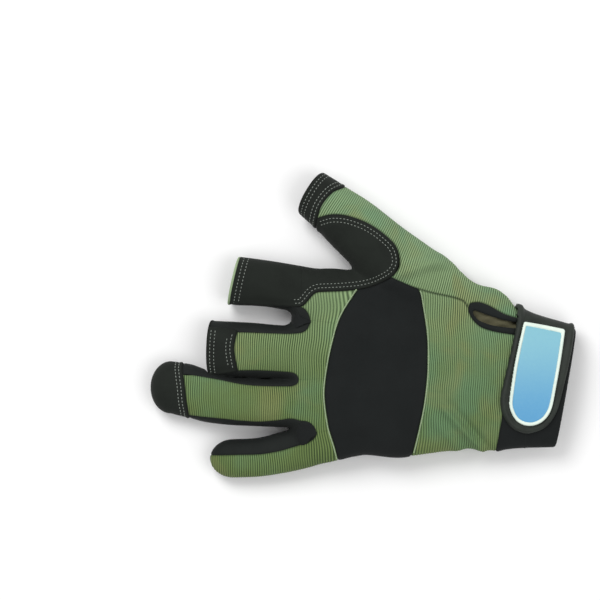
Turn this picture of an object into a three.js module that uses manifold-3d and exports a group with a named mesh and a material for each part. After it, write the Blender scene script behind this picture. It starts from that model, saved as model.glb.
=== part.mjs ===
// A left-hand work glove lying palm down, with the thumb, index and middle fingers cut short and open,
// and the ring and little fingers closed. Fingers point to -X, the cuff to +X, the thumb to +Y, +Z is up.
// The glove is one hollow form. Each sewn panel is the part of its wall inside that panel's own outline.
import * as THREE from "three";
import { mergeVertices } from "three/addons/utils/BufferGeometryUtils.js";
import Module from "manifold-3d";

const wasm = await Module();
wasm.setup();

// Overall sizes, in millimetres.
const GLOVE_LENGTH = 242; // cuff edge to the tip of the ring finger
const PALM_WIDTH = 109; // across the knuckles
const HAND_THICKNESS = 25; // of the empty hand, filled out as worn
const FINGER_THICKNESS = 19;
const THUMB_THICKNESS = 25;

// Walls and what lies on them.
const KNIT_WALL = 1.2;
const LEATHER_WALL = 1.4;
const LEATHER_RISE = 0.3; // leather stands this far proud of the knit
const NEOPRENE_WALL = 1.6;
const NEOPRENE_RISE = 0.8;
const BINDING_RISE = 0.7;
const STRAP_WALL = 2.0;
const BADGE_BORDER_WALL = 2.0;
const BADGE_FACE_WALL = 1.2;
const BADGE_BORDER_WIDTH = 2.0;
const PATCH_WALL = 1.4;
const SEAM_GAP = 0.3;
const PRESSED_FLAT = 0.3; // how far the underside is pressed in by what the glove lies on

// Heights of the seams over the table.
const PALM_SEAM_HEIGHT = 6;
const STRAP_END_HEIGHT = 4.5;

const HAND_SIDES = 32;
const FINGER_SIDES = 14;
const DOME_RINGS = 3;
const SWEEP_PAST = 8; // how far a cutting form runs past an open end
const HIGH = 60; // taller than any part of the glove
const STRAIGHT = 0.16; // a corner that stands out by less than this is left out of an outline

// A place on the table: along counts from the cuff edge towards the fingertips as a share of GLOVE_LENGTH,
// across counts from the little-finger edge towards the thumb as a share of PALM_WIDTH.
const MIDDLE_ALONG = 0.5;
const MIDDLE_ACROSS = 0.69;
const place = (along, across) =>
  new THREE.Vector2((MIDDLE_ALONG - along) * GLOVE_LENGTH, (across - MIDDLE_ACROSS) * PALM_WIDTH);
const places = (pairs) => pairs.map(([along, across]) => place(along, across));

// Sections of each tube. along and across place the middle of a section, half is its half width as a share
// of PALM_WIDTH, tall its height as a share of the tube's thickness, low its lowest point as a share of the
// same, turn the way it faces in degrees about +Z, and lean how far its top tips towards the fingertips.
const HAND = [
  { along: 0.649, across: 0.487, half: 0.474, tall: 0.76, low: 0.02, turn: -6, lean: 0 },
  { along: 0.581, across: 0.4965, half: 0.5025, tall: 0.95, low: 0.0, turn: -3, lean: 0 },
  { along: 0.507, across: 0.507, half: 0.472, tall: 1.0, low: 0.0, turn: -1, lean: 0 },
  { along: 0.412, across: 0.476, half: 0.4565, tall: 1.0, low: 0.0, turn: 0, lean: 0 },
  { along: 0.318, across: 0.469, half: 0.426, tall: 0.97, low: 0.0, turn: 0, lean: 0 },
  { along: 0.248, across: 0.486, half: 0.425, tall: 0.93, low: 0.0, turn: -3, lean: 0 },
  { along: 0.196, across: 0.475, half: 0.427, tall: 0.9, low: 0.0, turn: -5, lean: 0 },
  { along: 0.165, across: 0.4625, half: 0.3995, tall: 0.88, low: 0.0, turn: -8, lean: 0 },
  { along: 0.12, across: 0.4175, half: 0.3455, tall: 0.85, low: 0.0, turn: -9, lean: 0 },
  { along: 0.025, across: 0.385, half: 0.309, tall: 0.82, low: 0.0, turn: -10, lean: 0 },
];
const INDEX = [
  { along: 0.801, across: 0.937, half: 0.128, tall: 1.0, low: 0.0, turn: -13, lean: 4 },
  { along: 0.718, across: 0.919, half: 0.121, tall: 1.02, low: 0.03, turn: -8, lean: 0 },
  { along: 0.626, across: 0.88, half: 0.125, tall: 1.05, low: 0.08, turn: -8, lean: 0 },
  { along: 0.541, across: 0.843, half: 0.126, tall: 1.05, low: 0.12, turn: -8, lean: 0 },
];
const MIDDLE = [
  { along: 0.857, across: 0.586, half: 0.144, tall: 1.0, low: 0.0, turn: -2, lean: 14 },
  { along: 0.765, across: 0.579, half: 0.141, tall: 1.04, low: 0.02, turn: -1, lean: 0 },
  { along: 0.671, across: 0.563, half: 0.141, tall: 1.08, low: 0.07, turn: -1, lean: 0 },
  { along: 0.541, across: 0.565, half: 0.141, tall: 1.1, low: 0.1, turn: 0, lean: 0 },
];
const RING = [
  { along: 0.953, across: 0.38, half: 0.134, tall: 0.95, low: 0.0, turn: -6, lean: 8 },
  { along: 0.906, across: 0.36, half: 0.142, tall: 1.0, low: 0.0, turn: -8, lean: 4 },
  { along: 0.871, across: 0.336, half: 0.139, tall: 1.0, low: 0.0, turn: -8, lean: 0 },
  { along: 0.812, across: 0.309, half: 0.127, tall: 1.02, low: 0.02, turn: -6, lean: 0 },
  { along: 0.741, across: 0.298, half: 0.122, tall: 1.04, low: 0.04, turn: -3, lean: 0 },
  { along: 0.671, across: 0.293, half: 0.124, tall: 1.06, low: 0.07, turn: -1, lean: 0 },
  { along: 0.541, across: 0.283, half: 0.131, tall: 1.08, low: 0.1, turn: 0, lean: 0 },
];
const LITTLE = [
  { along: 0.805, across: 0.0075, half: 0.1015, tall: 0.85, low: 0.0, turn: 2, lean: 6 },
  { along: 0.746, across: 0.014, half: 0.103, tall: 0.88, low: 0.0, turn: 6, lean: 0 },
  { along: 0.687, across: 0.041, half: 0.111, tall: 0.92, low: 0.02, turn: 10, lean: 0 },
  { along: 0.624, across: 0.0795, half: 0.1175, tall: 0.98, low: 0.05, turn: 10, lean: 0 },
  { along: 0.529, across: 0.137, half: 0.108, tall: 1.05, low: 0.1, turn: 8, lean: 0 },
];
const THUMB = [
  { along: 0.619, across: 1.393, half: 0.122, tall: 0.9, low: 0.0, turn: -31, lean: 18 },
  { along: 0.569, across: 1.309, half: 0.136, tall: 0.98, low: 0.0, turn: -34, lean: 6 },
  { along: 0.52, across: 1.22, half: 0.152, tall: 1.06, low: 0.01, turn: -38, lean: 0 },
  { along: 0.452, across: 1.089, half: 0.162, tall: 1.11, low: 0.03, turn: -38, lean: 0 },
  { along: 0.372, across: 0.963, half: 0.16, tall: 1.09, low: 0.05, turn: -37, lean: 0 },
  { along: 0.294, across: 0.838, half: 0.141, tall: 0.95, low: 0.06, turn: -33, lean: 0 },
  { along: 0.224, across: 0.733, half: 0.095, tall: 0.7, low: 0.08, turn: -28, lean: 0 },
];
// The leather that bridges the palm and the thumb underneath.
const THUMB_ROOT = [
  { along: 0.48, across: 0.95, half: 0.12, tall: 0.42, low: 0.07, turn: -37, lean: 0 },
  { along: 0.41, across: 0.92, half: 0.16, tall: 0.5, low: 0.06, turn: -37, lean: 0 },
  { along: 0.33, across: 0.83, half: 0.16, tall: 0.5, low: 0.06, turn: -37, lean: 0 },
  { along: 0.26, across: 0.75, half: 0.11, tall: 0.4, low: 0.06, turn: -37, lean: 0 },
];
// The crease that the thumb's fabric throws over the side of the hand: a low roll lying on the form.
const THUMB_FOLD = [
  { along: 0.447, across: 0.94, half: 0.02, tall: 0.12, low: 0.93, turn: 20, lean: 0 },
  { along: 0.405, across: 0.98, half: 0.045, tall: 0.24, low: 0.91, turn: 20, lean: 0 },
  { along: 0.345, across: 0.995, half: 0.045, tall: 0.24, low: 0.85, turn: 20, lean: 0 },
  { along: 0.3, across: 0.985, half: 0.02, tall: 0.14, low: 0.78, turn: 20, lean: 0 },
];
// The tips of the closed fingers, where their rounded ends finish.
const RING_TIP = { along: 1.0, across: 0.39 };
const LITTLE_TIP = { along: 0.861, across: 0.02 };

// Outlines of the panels, seen from above, as [along, across].
const CUFF_LINE = [[0.134, 0.786], [0.188, 0.042]]; // where the knit meets the cuff
const WEB_EDGE = [
  [0.607, 1.262], [0.576, 1.28], [0.541, 1.275], [0.501, 1.246], [0.471, 1.209], [0.447, 1.168],
  [0.428, 1.126], [0.418, 1.079], [0.416, 1.026], [0.424, 0.984], [0.438, 0.953], [0.471, 0.916],
  [0.506, 0.895], [0.553, 0.885], [0.605, 0.88], [0.619, 0.864], [0.635, 0.822], [0.647, 0.8],
];
const WEB_OUTER = [[0.9, 0.82], [0.9, 1.18], [0.66, 1.23]]; // round the open side of the index and the web
const KNUCKLE_EDGE = [
  [0.508, 0.9], [0.438, 0.96], [0.412, 0.927], [0.374, 0.897], [0.361, 0.791], [0.352, 0.65],
  [0.351, 0.5], [0.353, 0.416], [0.361, 0.277], [0.382, 0.061], [0.402, -0.06], [0.48, -0.1],
  [0.555, -0.05], [0.567, 0.07], [0.582, 0.183], [0.591, 0.34], [0.586, 0.463], [0.574, 0.602],
  [0.555, 0.743], [0.525, 0.855],
];
const THUMB_SEAM = [
  [0.43, 0.945], [0.412, 0.927], [0.374, 0.895], [0.336, 0.872], [0.294, 0.853], [0.266, 0.832],
  [0.253, 0.796], [0.2, 0.75], [0.13, 0.69],
];
const THUMB_OUTER = [[-0.05, 0.69], [-0.05, 1.3], [0.4, 1.8], [0.72, 1.8], [0.72, 1.25], [0.5, 1.03]];
const THUMB_BAND_EDGE = [[0.53, 1.47], [0.543, 1.43], [0.57, 1.402], [0.588, 1.362], [0.6, 1.322], [0.607, 1.277]];
const THUMB_BAND_OUTER = [[0.612, 1.19], [0.7, 1.2], [0.68, 1.6], [0.56, 1.6]];
const MIDDLE_BAND = [
  [0.796, 0.67], [0.798, 0.655], [0.803, 0.607], [0.803, 0.56], [0.798, 0.499], [0.795, 0.469], [0.795, 0.466],
  [0.86, 0.452], [0.874, 0.5], [0.88, 0.56], [0.88, 0.61], [0.874, 0.66], [0.864, 0.672],
];
const RING_CAP = [
  [0.9215, 0.56], [0.922, 0.487], [0.932, 0.43], [0.935, 0.382], [0.932, 0.31], [0.927, 0.241], [0.927, 0.16],
  [1.05, 0.16], [1.05, 0.56],
];
const INDEX_MIDDLE_GUSSET = [
  [0.9, 0.822], [0.647, 0.796], [0.633, 0.775], [0.626, 0.723], [0.633, 0.68], [0.647, 0.664], [0.9, 0.664],
];
const MIDDLE_RING_GUSSET = [
  [0.87, 0.47], [0.795, 0.468], [0.741, 0.467], [0.671, 0.455], [0.655, 0.44], [0.649, 0.419], [0.656, 0.398],
  [0.671, 0.387], [0.741, 0.393], [0.788, 0.403], [0.835, 0.424], [0.906, 0.45], [0.93, 0.455], [0.93, 0.56],
  [0.87, 0.56],
];
const RING_LITTLE_GUSSET = [
  [0.93, 0.236], [0.882, 0.225], [0.835, 0.215], [0.788, 0.204], [0.741, 0.199], [0.694, 0.209], [0.671, 0.217],
  [0.647, 0.207], [0.624, 0.191], [0.612, 0.147], [0.619, 0.11], [0.647, 0.084], [0.671, 0.068], [0.694, 0.052],
  [0.741, 0.034], [0.788, 0.031], [0.9, 0.034], [0.9, 0.141], [0.93, 0.141],
];
const VENT_BINDING = [
  [0.254, 0.797], [0.249, 0.82], [0.228, 0.824], [0.204, 0.805], [0.169, 0.763], [0.12, 0.722],
  [0.13, 0.655], [0.152, 0.666], [0.193, 0.678], [0.224, 0.697], [0.244, 0.736], [0.253, 0.775],
];
const VENT_HOLE = [
  [0.244, 0.775], [0.228, 0.768], [0.2, 0.75], [0.173, 0.733], [0.11, 0.7], [0.12, 0.683], [0.18, 0.701],
  [0.207, 0.712], [0.231, 0.732], [0.242, 0.757],
];
const STRAP_EDGE = [
  [0.132, 0.9], [0.139, 0.743], [0.146, 0.66], [0.159, 0.513], [0.171, 0.398], [0.176, 0.321], [0.173, 0.262],
  [0.162, 0.199], [0.145, 0.152], [0.114, 0.126], [0.076, 0.152], [0.055, 0.199], [0.042, 0.267], [0.028, 0.398],
  [0.017, 0.513], [0.012, 0.66], [0.005, 0.9],
];
const BADGE_EDGE = [
  [0.121, 0.72], [0.073, 0.695], [0.027, 0.67], [0.036, 0.53], [0.045, 0.398], [0.057, 0.26], [0.076, 0.194],
  [0.107, 0.168], [0.138, 0.194], [0.153, 0.26], [0.154, 0.321], [0.145, 0.474], [0.135, 0.59],
];
// Reinforcing patches on the palm: one over the base of the thumb, one under the fingers and the heel.
const THENAR_PATCH = [
  [0.51, 0.87], [0.45, 0.9], [0.38, 0.87], [0.31, 0.8], [0.25, 0.7], [0.235, 0.6], [0.27, 0.53], [0.33, 0.53],
  [0.39, 0.58], [0.44, 0.66], [0.5, 0.7], [0.56, 0.73], [0.58, 0.79], [0.56, 0.85],
];
const HEEL_PATCH = [
  [0.55, 0.6], [0.5, 0.6], [0.45, 0.55], [0.4, 0.47], [0.34, 0.42], [0.27, 0.41], [0.23, 0.36], [0.225, 0.24],
  [0.26, 0.14], [0.34, 0.1], [0.44, 0.1], [0.53, 0.14], [0.585, 0.25], [0.595, 0.4], [0.585, 0.53],
];

// A solid for joining and cutting, from a three.js geometry.
function solidFrom(geometry) {
  const bare = geometry.index ? geometry.toNonIndexed() : geometry.clone();
  bare.deleteAttribute("normal");
  bare.deleteAttribute("uv");
  const merged = mergeVertices(bare, 1e-3);
  return new wasm.Manifold(
    new wasm.Mesh({
      numProp: 3,
      vertProperties: new Float32Array(merged.attributes.position.array),
      triVerts: new Uint32Array(merged.index.array),
    }),
  );
}

// The value at share t between b and c on the smooth curve through a, b, c and d.
const smooth = (a, b, c, d, t) =>
  b + 0.5 * t * (c - a + t * (2 * a - 5 * b + 4 * c - d + t * (3 * (b - c) + d - a)));

// More sections between the rows of a table, on smooth curves through them.
function refine(rows, ringsPerRow) {
  const fine = [];
  for (let i = 0; i < rows.length - 1; i += 1) {
    const [a, b, c, d] = [rows[Math.max(i - 1, 0)], rows[i], rows[i + 1], rows[Math.min(i + 2, rows.length - 1)]];
    for (let k = 0; k < ringsPerRow; k += 1) {
      const t = k / ringsPerRow;
      fine.push(Object.fromEntries(Object.keys(b).map((key) => [key, smooth(a[key], b[key], c[key], d[key], t)])));
    }
  }
  return [...fine, rows[rows.length - 1]];
}

// One section as a ring of points. power 2 is an ellipse, and more is squarer.
function ring({ centre, halfWidth, halfHeight, turn, lean, sides, power }) {
  const yaw = THREE.MathUtils.degToRad(turn);
  const tip = THREE.MathUtils.degToRad(lean);
  const towardsTips = new THREE.Vector3(-Math.cos(yaw), -Math.sin(yaw), 0);
  const aside = new THREE.Vector3(-Math.sin(yaw), Math.cos(yaw), 0);
  const up = new THREE.Vector3(0, 0, Math.cos(tip)).addScaledVector(towardsTips, Math.sin(tip));
  const bend = (v) => Math.sign(v) * Math.abs(v) ** (2 / power);
  return Array.from({ length: sides }, (_, i) => {
    const angle = (2 * Math.PI * (i + 0.5)) / sides;
    return centre
      .clone()
      .addScaledVector(aside, bend(Math.cos(angle)) * halfWidth)
      .addScaledVector(up, bend(Math.sin(angle)) * halfHeight);
  });
}

// A closed solid skinned over rings of equally many points, with a flat cap at each end.
function skin(rings) {
  const sides = rings[0].length;
  const points = rings.flat();
  const caps = [rings[0], rings[rings.length - 1]].map((r) =>
    r.reduce((sum, p) => sum.add(p), new THREE.Vector3()).divideScalar(sides),
  );
  const first = points.length;
  points.push(...caps);
  const faces = [];
  for (let i = 0; i < sides; i += 1) {
    const j = (i + 1) % sides;
    for (let r = 0; r < rings.length - 1; r += 1) {
      const [a, b, c, d] = [r * sides + i, r * sides + j, (r + 1) * sides + i, (r + 1) * sides + j];
      faces.push(a, b, c, b, d, c);
    }
    const last = (rings.length - 1) * sides;
    faces.push(first, j, i, first + 1, last + i, last + j);
  }
  const geometry = new THREE.BufferGeometry().setFromPoints(points);
  geometry.setIndex(faces);
  return solidFrom(geometry);
}

// A tube from a table of sections, grown outwards by grow. An open end is a flat cut, swept on when the
// tube is used for cutting, and a closed one is a rounded tip.
function tube({ rows, thickness, sides, power = 2.2, smoothed = 1, tip = null, openEnds = [] }, grow, cutting) {
  const base = rows === HAND ? HAND_BASE : FINGER_BASE;
  const fine = refine(rows, smoothed).map((row) => {
    const halfHeight = (row.tall * thickness) / 2;
    const { x, y } = place(row.along, row.across);
    return {
      ...row,
      centre: new THREE.Vector3(x, y, base + row.low * thickness + halfHeight),
      halfWidth: row.half * PALM_WIDTH,
      halfHeight,
    };
  });
  const sections = fine.map((s) => ({
    ...s,
    halfWidth: Math.max(s.halfWidth + grow, 0.2),
    halfHeight: Math.max(s.halfHeight + grow, 0.2),
    sides,
    power,
  }));
  const rings = sections.map(ring);
  if (tip) {
    const start = sections[0];
    const { x, y } = place(tip.along, tip.across);
    const end = new THREE.Vector3(x, y, start.centre.z);
    const reach = end.clone().sub(start.centre);
    reach.setLength(reach.length() + grow);
    for (let i = 1; i <= DOME_RINGS; i += 1) {
      const angle = (Math.PI / 2) * (i / (DOME_RINGS + 0.35));
      rings.unshift(
        ring({
          ...start,
          centre: start.centre.clone().addScaledVector(reach, Math.sin(angle)),
          halfWidth: start.halfWidth * Math.cos(angle),
          halfHeight: start.halfHeight * Math.cos(angle),
        }),
      );
    }
  }
  // An end that is buried in another tube grows like the sides do, and an open one is a clean cut.
  const middle = (r) => r.reduce((sum, p) => sum.add(p), new THREE.Vector3()).divideScalar(r.length);
  const outwards = (at, before) => middle(rings[at]).sub(middle(rings[before])).normalize();
  const last = rings.length - 1;
  const steps = { first: outwards(0, 1), last: outwards(last, last - 1) };
  const push = { first: 0, last: 0 };
  for (const which of ["first", "last"]) {
    if (openEnds.includes(which)) push[which] = cutting ? SWEEP_PAST : 0;
    else if (which === "last" || !tip) push[which] = grow;
  }
  const moved = (r, which) => r.map((p) => p.clone().addScaledVector(steps[which], push[which]));
  rings[0] = moved(rings[0], "first");
  rings[last] = moved(rings[last], "last");
  return skin(rings);
}

// The hand rides on its palm patches, which rest on the table.
const HAND_BASE = PATCH_WALL + SEAM_GAP - PRESSED_FLAT;
const FINGER_BASE = -PRESSED_FLAT;
const TUBES = [
  { rows: HAND, thickness: HAND_THICKNESS, sides: HAND_SIDES, power: 2.5, openEnds: ["last"] },
  { rows: INDEX, thickness: FINGER_THICKNESS, sides: FINGER_SIDES, smoothed: 2, openEnds: ["first"] },
  { rows: MIDDLE, thickness: FINGER_THICKNESS, sides: FINGER_SIDES, openEnds: ["first"] },
  { rows: RING, thickness: FINGER_THICKNESS, sides: FINGER_SIDES, tip: RING_TIP },
  { rows: LITTLE, thickness: FINGER_THICKNESS, sides: FINGER_SIDES, smoothed: 2, tip: LITTLE_TIP },
  { rows: THUMB, thickness: THUMB_THICKNESS, sides: FINGER_SIDES, openEnds: ["first"] },
  { rows: THUMB_ROOT, thickness: THUMB_THICKNESS, sides: FINGER_SIDES },
  { rows: THUMB_FOLD, thickness: THUMB_THICKNESS, sides: FINGER_SIDES / 2, power: 2 },
];
const made = new Map();

// The whole glove as one body, grown outwards by grow, or the space that a smaller one takes up.
function form(grow, cutting = false) {
  const key = `${grow.toFixed(3)} ${cutting}`;
  if (!made.has(key)) {
    const bodies = TUBES.map((t) => tube(t, grow, cutting));
    made.set(key, bodies.reduce((all, body) => all.add(body)));
  }
  return made.get(key);
}

// The glove's wall from one level to another, both counted outwards from the face of the knit.
const wall = (inside, outside) => form(outside).subtract(form(inside, true));

// A closed outline smoothed through its points, moved outwards by grow.
function outline(points, grow = 0, steps = 2) {
  const closed = new THREE.CatmullRomCurve3(
    points.map((p) => new THREE.Vector3(p.x, p.y, 0)),
    true,
    "centripetal",
  );
  const round = closed.getPoints(points.length * steps).slice(0, -1);
  const turning = THREE.ShapeUtils.isClockWise(round) ? -1 : 1;
  return round.map((p, i) => {
    const before = round[(i + round.length - 1) % round.length];
    const after = round[(i + 1) % round.length];
    const heading = after.clone().sub(before).normalize();
    return new THREE.Vector2(p.x + turning * heading.y * grow, p.y - turning * heading.x * grow);
  });
}

// The same outline without the points that lie on a straight line between their neighbours.
function cornersOf(points) {
  const kept = [...points];
  for (let i = 0; i < kept.length && kept.length > 3; ) {
    const [a, b, c] = [kept[(i + kept.length - 1) % kept.length], kept[i], kept[(i + 1) % kept.length]];
    const base = c.clone().sub(a);
    const off = Math.abs(base.cross(b.clone().sub(a))) / Math.max(base.length(), STRAIGHT);
    if (off < STRAIGHT) {
      kept.splice(i, 1);
      i = Math.max(i - 2, 0);
    } else i += 1;
  }
  return kept;
}

// A prism over an outline, from height low to height high.
function prism(points, low, high) {
  const shape = new THREE.Shape(cornersOf(points));
  const geometry = new THREE.ExtrudeGeometry(shape, { depth: high - low, bevelEnabled: false });
  geometry.translate(0, 0, low);
  return solidFrom(geometry);
}

// Everything on the cuff's side of the line where the cuff begins, moved away from the hand by shift.
function cuffSide(shift) {
  const [thumbSide, littleSide] = places(CUFF_LINE);
  const line = thumbSide.clone().sub(littleSide);
  const away = new THREE.Vector2(line.y, -line.x).normalize();
  const ends = [thumbSide.clone().add(line), littleSide.clone().sub(line)];
  const near = ends.map((p) => p.clone().addScaledVector(away, shift));
  const far = ends.map((p) => p.clone().addScaledVector(away, GLOVE_LENGTH));
  return prism([near[0], far[0], far[1], near[1]], -HIGH, HIGH);
}

const halfGap = SEAM_GAP / 2;
const everywhere = places([[-1, -1], [2, -1], [2, 3], [-1, 3]]);
const overTable = prism(everywhere, 0, HIGH);
const aboveSeam = prism(everywhere, PALM_SEAM_HEIGHT + halfGap, HIGH);
const belowSeam = prism(everywhere, 0, PALM_SEAM_HEIGHT - halfGap);
const aboveStrapEnd = prism(everywhere, STRAP_END_HEIGHT, HIGH);

// Colours seen in the materials of the glove.
const FINISHES = {
  knit: new THREE.MeshStandardMaterial({ color: 0x6f8a5c, roughness: 0.9, metalness: 0 }),
  leather: new THREE.MeshStandardMaterial({ color: 0x24272a, roughness: 0.85, metalness: 0 }),
  neoprene: new THREE.MeshStandardMaterial({ color: 0x1f2322, roughness: 0.8, metalness: 0 }),
  gusset: new THREE.MeshStandardMaterial({ color: 0x202426, roughness: 0.75, metalness: 0 }),
  strap: new THREE.MeshStandardMaterial({ color: 0x2b302a, roughness: 0.6, metalness: 0 }),
  badge_white: new THREE.MeshStandardMaterial({ color: 0xe6f0e8, roughness: 0.45, metalness: 0 }),
  badge_blue: new THREE.MeshStandardMaterial({ color: 0x7cc2dc, roughness: 0.4, metalness: 0 }),
};

const glove = new THREE.Group();

// Adds a piece to the glove under its own name. Crumbs that a cut leaves beside it are dropped.
function add(name, finish, solid) {
  const bodies = solid.decompose().sort((a, b) => b.volume() - a.volume());
  const mesh = bodies[0].getMesh();
  const geometry = new THREE.BufferGeometry();
  geometry.setAttribute("position", new THREE.BufferAttribute(new Float32Array(mesh.vertProperties), 3));
  geometry.setIndex(new THREE.BufferAttribute(new Uint32Array(mesh.triVerts), 1));
  geometry.computeVertexNormals();
  const piece = new THREE.Mesh(geometry, FINISHES[finish]);
  piece.name = name;
  glove.add(piece);
}

// Upper panels. Each takes its outline from what the panels before it have left.
const taken = [cuffSide(-halfGap)];
function upperPanel(name, finish, points, inside, outside, extra = null) {
  const own = prism(outline(points, -halfGap), -HIGH, HIGH);
  let solid = wall(-inside, outside).intersect(own).intersect(aboveSeam);
  solid = taken.reduce((left, zone) => left.subtract(zone), solid);
  if (extra) solid = solid.subtract(extra);
  taken.push(prism(outline(points, halfGap), -HIGH, HIGH));
  add(name, finish, solid);
}

upperPanel(
  "vent_binding",
  "gusset",
  places(VENT_BINDING),
  KNIT_WALL,
  BINDING_RISE,
  prism(outline(places(VENT_HOLE)), -HIGH, HIGH),
);
upperPanel("thumb_end_band", "leather", places([...THUMB_BAND_EDGE, ...THUMB_BAND_OUTER]), LEATHER_WALL, LEATHER_RISE);
upperPanel("middle_end_band", "leather", places(MIDDLE_BAND), LEATHER_WALL, LEATHER_RISE);
upperPanel("ring_tip_cap", "leather", places(RING_CAP), LEATHER_WALL, LEATHER_RISE);
upperPanel("web_and_index_leather", "leather", places([...WEB_EDGE, ...WEB_OUTER]), LEATHER_WALL, LEATHER_RISE);
upperPanel("knuckle_pad", "neoprene", places(KNUCKLE_EDGE), NEOPRENE_WALL, NEOPRENE_RISE);
upperPanel("gusset_index_middle", "gusset", places(INDEX_MIDDLE_GUSSET), KNIT_WALL, 0);
upperPanel("gusset_middle_ring", "gusset", places(MIDDLE_RING_GUSSET), KNIT_WALL, 0);
upperPanel("gusset_ring_little", "gusset", places(RING_LITTLE_GUSSET), KNIT_WALL, 0);
upperPanel("thumb_back", "knit", places([...THUMB_SEAM, ...THUMB_OUTER]), KNIT_WALL, 0);

// What is left of the knit falls in two: the backs of the fingers, and the back of the hand by the wrist.
const KNUCKLE_MIDDLE = 0.47;
const rest = taken.reduce((left, zone) => left.subtract(zone), wall(-KNIT_WALL, 0).intersect(aboveSeam));
const fingerSide = (from, to) =>
  prism(places([[from, -1], [from, 2], [to, 2], [to, -1]]), -HIGH, HIGH);
add("finger_backs", "knit", rest.intersect(fingerSide(KNUCKLE_MIDDLE, 1.5)));
add("hand_back", "knit", rest.intersect(fingerSide(-0.5, KNUCKLE_MIDDLE)));

// Everything below the side seam is the leather palm, with the undersides of the fingers and thumb.
add(
  "palm_leather",
  "leather",
  wall(-LEATHER_WALL, 0).intersect(belowSeam).subtract(cuffSide(-halfGap)),
);
function palmPatch(name, points) {
  const level = SEAM_GAP;
  const own = prism(outline(places(points)), 0, PALM_SEAM_HEIGHT);
  add(name, "leather", form(level + PATCH_WALL).subtract(form(level)).intersect(own));
}
palmPatch("thenar_patch", THENAR_PATCH);
palmPatch("heel_patch", HEEL_PATCH);

// The cuff is a closed loop of neoprene. The vent runs a little way under it.
add(
  "cuff",
  "neoprene",
  wall(-NEOPRENE_WALL, NEOPRENE_RISE).intersect(cuffSide(halfGap)).intersect(overTable),
);

// The strap lies over the cuff and turns down over the thumb's side, and the badge lies on the strap.
const strapLevel = NEOPRENE_RISE + SEAM_GAP;
const strapTop = strapLevel + STRAP_WALL;
const strapZone = prism(outline(places(STRAP_EDGE)), 0, HIGH);
const strapSide = prism(places([[-0.1, 0.1], [0.3, 0.1], [0.3, 1.2], [-0.1, 1.2]]), 0, HIGH);
add(
  "strap",
  "strap",
  form(strapTop)
    .subtract(form(strapLevel, true))
    .intersect(strapZone)
    .intersect(strapSide)
    .intersect(aboveStrapEnd),
);
const badgeLevel = strapTop + SEAM_GAP;
const badge = (thick, grow) =>
  form(badgeLevel + thick)
    .subtract(form(badgeLevel, true))
    .intersect(prism(outline(places(BADGE_EDGE), grow), HAND_THICKNESS / 2, HIGH));
add(
  "badge_border",
  "badge_white",
  badge(BADGE_BORDER_WALL, 0).subtract(prism(outline(places(BADGE_EDGE), -BADGE_BORDER_WIDTH), -HIGH, HIGH)),
);
add("badge_face", "badge_blue", badge(BADGE_FACE_WALL, -BADGE_BORDER_WIDTH - SEAM_GAP));

// The origin is the middle of the glove's footprint, at the height of the table.
const box = new THREE.Box3().setFromObject(glove);
const middle = box.getCenter(new THREE.Vector3());
glove.position.set(-middle.x, -middle.y, -box.min.z);

export default glove;
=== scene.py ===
# %% [markdown]
# # A work glove, sewn panel by panel
# This left-hand glove lies palm down. Its thumb, index and middle fingers are cut off, and the ring and
# little fingers are closed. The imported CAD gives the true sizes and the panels' names. Each panel is then
# made again as the cloth or leather that it is, with rolled seams, ribs, stitches and folds, and replaces
# its plain solid.

# %% The frame
import bpy
import bmesh
import numpy as np
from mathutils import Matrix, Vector


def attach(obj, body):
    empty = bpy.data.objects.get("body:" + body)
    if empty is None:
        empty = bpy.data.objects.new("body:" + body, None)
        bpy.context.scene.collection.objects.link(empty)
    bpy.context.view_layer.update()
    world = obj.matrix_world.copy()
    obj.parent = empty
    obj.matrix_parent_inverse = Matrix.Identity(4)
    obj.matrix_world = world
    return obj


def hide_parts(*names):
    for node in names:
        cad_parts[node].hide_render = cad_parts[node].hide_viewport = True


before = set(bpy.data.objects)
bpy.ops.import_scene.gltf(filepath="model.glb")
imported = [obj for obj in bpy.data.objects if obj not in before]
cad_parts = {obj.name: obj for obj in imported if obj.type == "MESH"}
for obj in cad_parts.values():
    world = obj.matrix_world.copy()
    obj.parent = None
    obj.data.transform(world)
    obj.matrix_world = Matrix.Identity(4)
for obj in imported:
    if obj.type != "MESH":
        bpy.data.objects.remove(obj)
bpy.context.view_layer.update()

# %% [markdown]
# ## Sizes
# Places on the glove are shares: along counts from the cuff's edge to the fingertips, and across from the
# little finger's edge towards the thumb. Two real sizes turn them into millimetres, so every table below
# can be checked by eye against a flat glove. Lengths stay in millimetres until a mesh is made.

# %% Sizes
MM = 0.001
GLOVE_LENGTH = 242.0
PALM_WIDTH = 109.0
HAND_THICKNESS = 25.0
FINGER_THICKNESS = 19.0
THUMB_THICKNESS = 25.0
HAND_BASE = 1.4  # the hand rides on its palm patches
FINGER_BASE = -0.3  # the fingers are pressed a little flat by the table
PALM_SEAM = 6.0  # height of the seam between the palm and the back
MIDDLE = np.array([0.5, 0.69])
FOOTPRINT_SHIFT = np.array([0.284, -1.641])  # the frame's origin is the middle of the footprint


def place(pairs):
    """Shares along and across, to millimetres on the table: along runs to -X and across to +Y."""
    pairs = np.asarray(pairs, float)
    scale = np.array([-GLOVE_LENGTH, PALM_WIDTH])
    return (pairs[..., :2] - MIDDLE) * scale + FOOTPRINT_SHIFT


print("knuckles", PALM_WIDTH, "mm wide and glove", GLOVE_LENGTH, "mm long")

# %% [markdown]
# ## The tubes of the form
# A glove is a hand, four fingers and a thumb, each a tube of rounded sections. A row is one section: where
# its middle is, its half width as a share of the palm's width, its height and its lowest point as shares of
# the tube's thickness. Smooth curves through the rows give everything between them.

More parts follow.
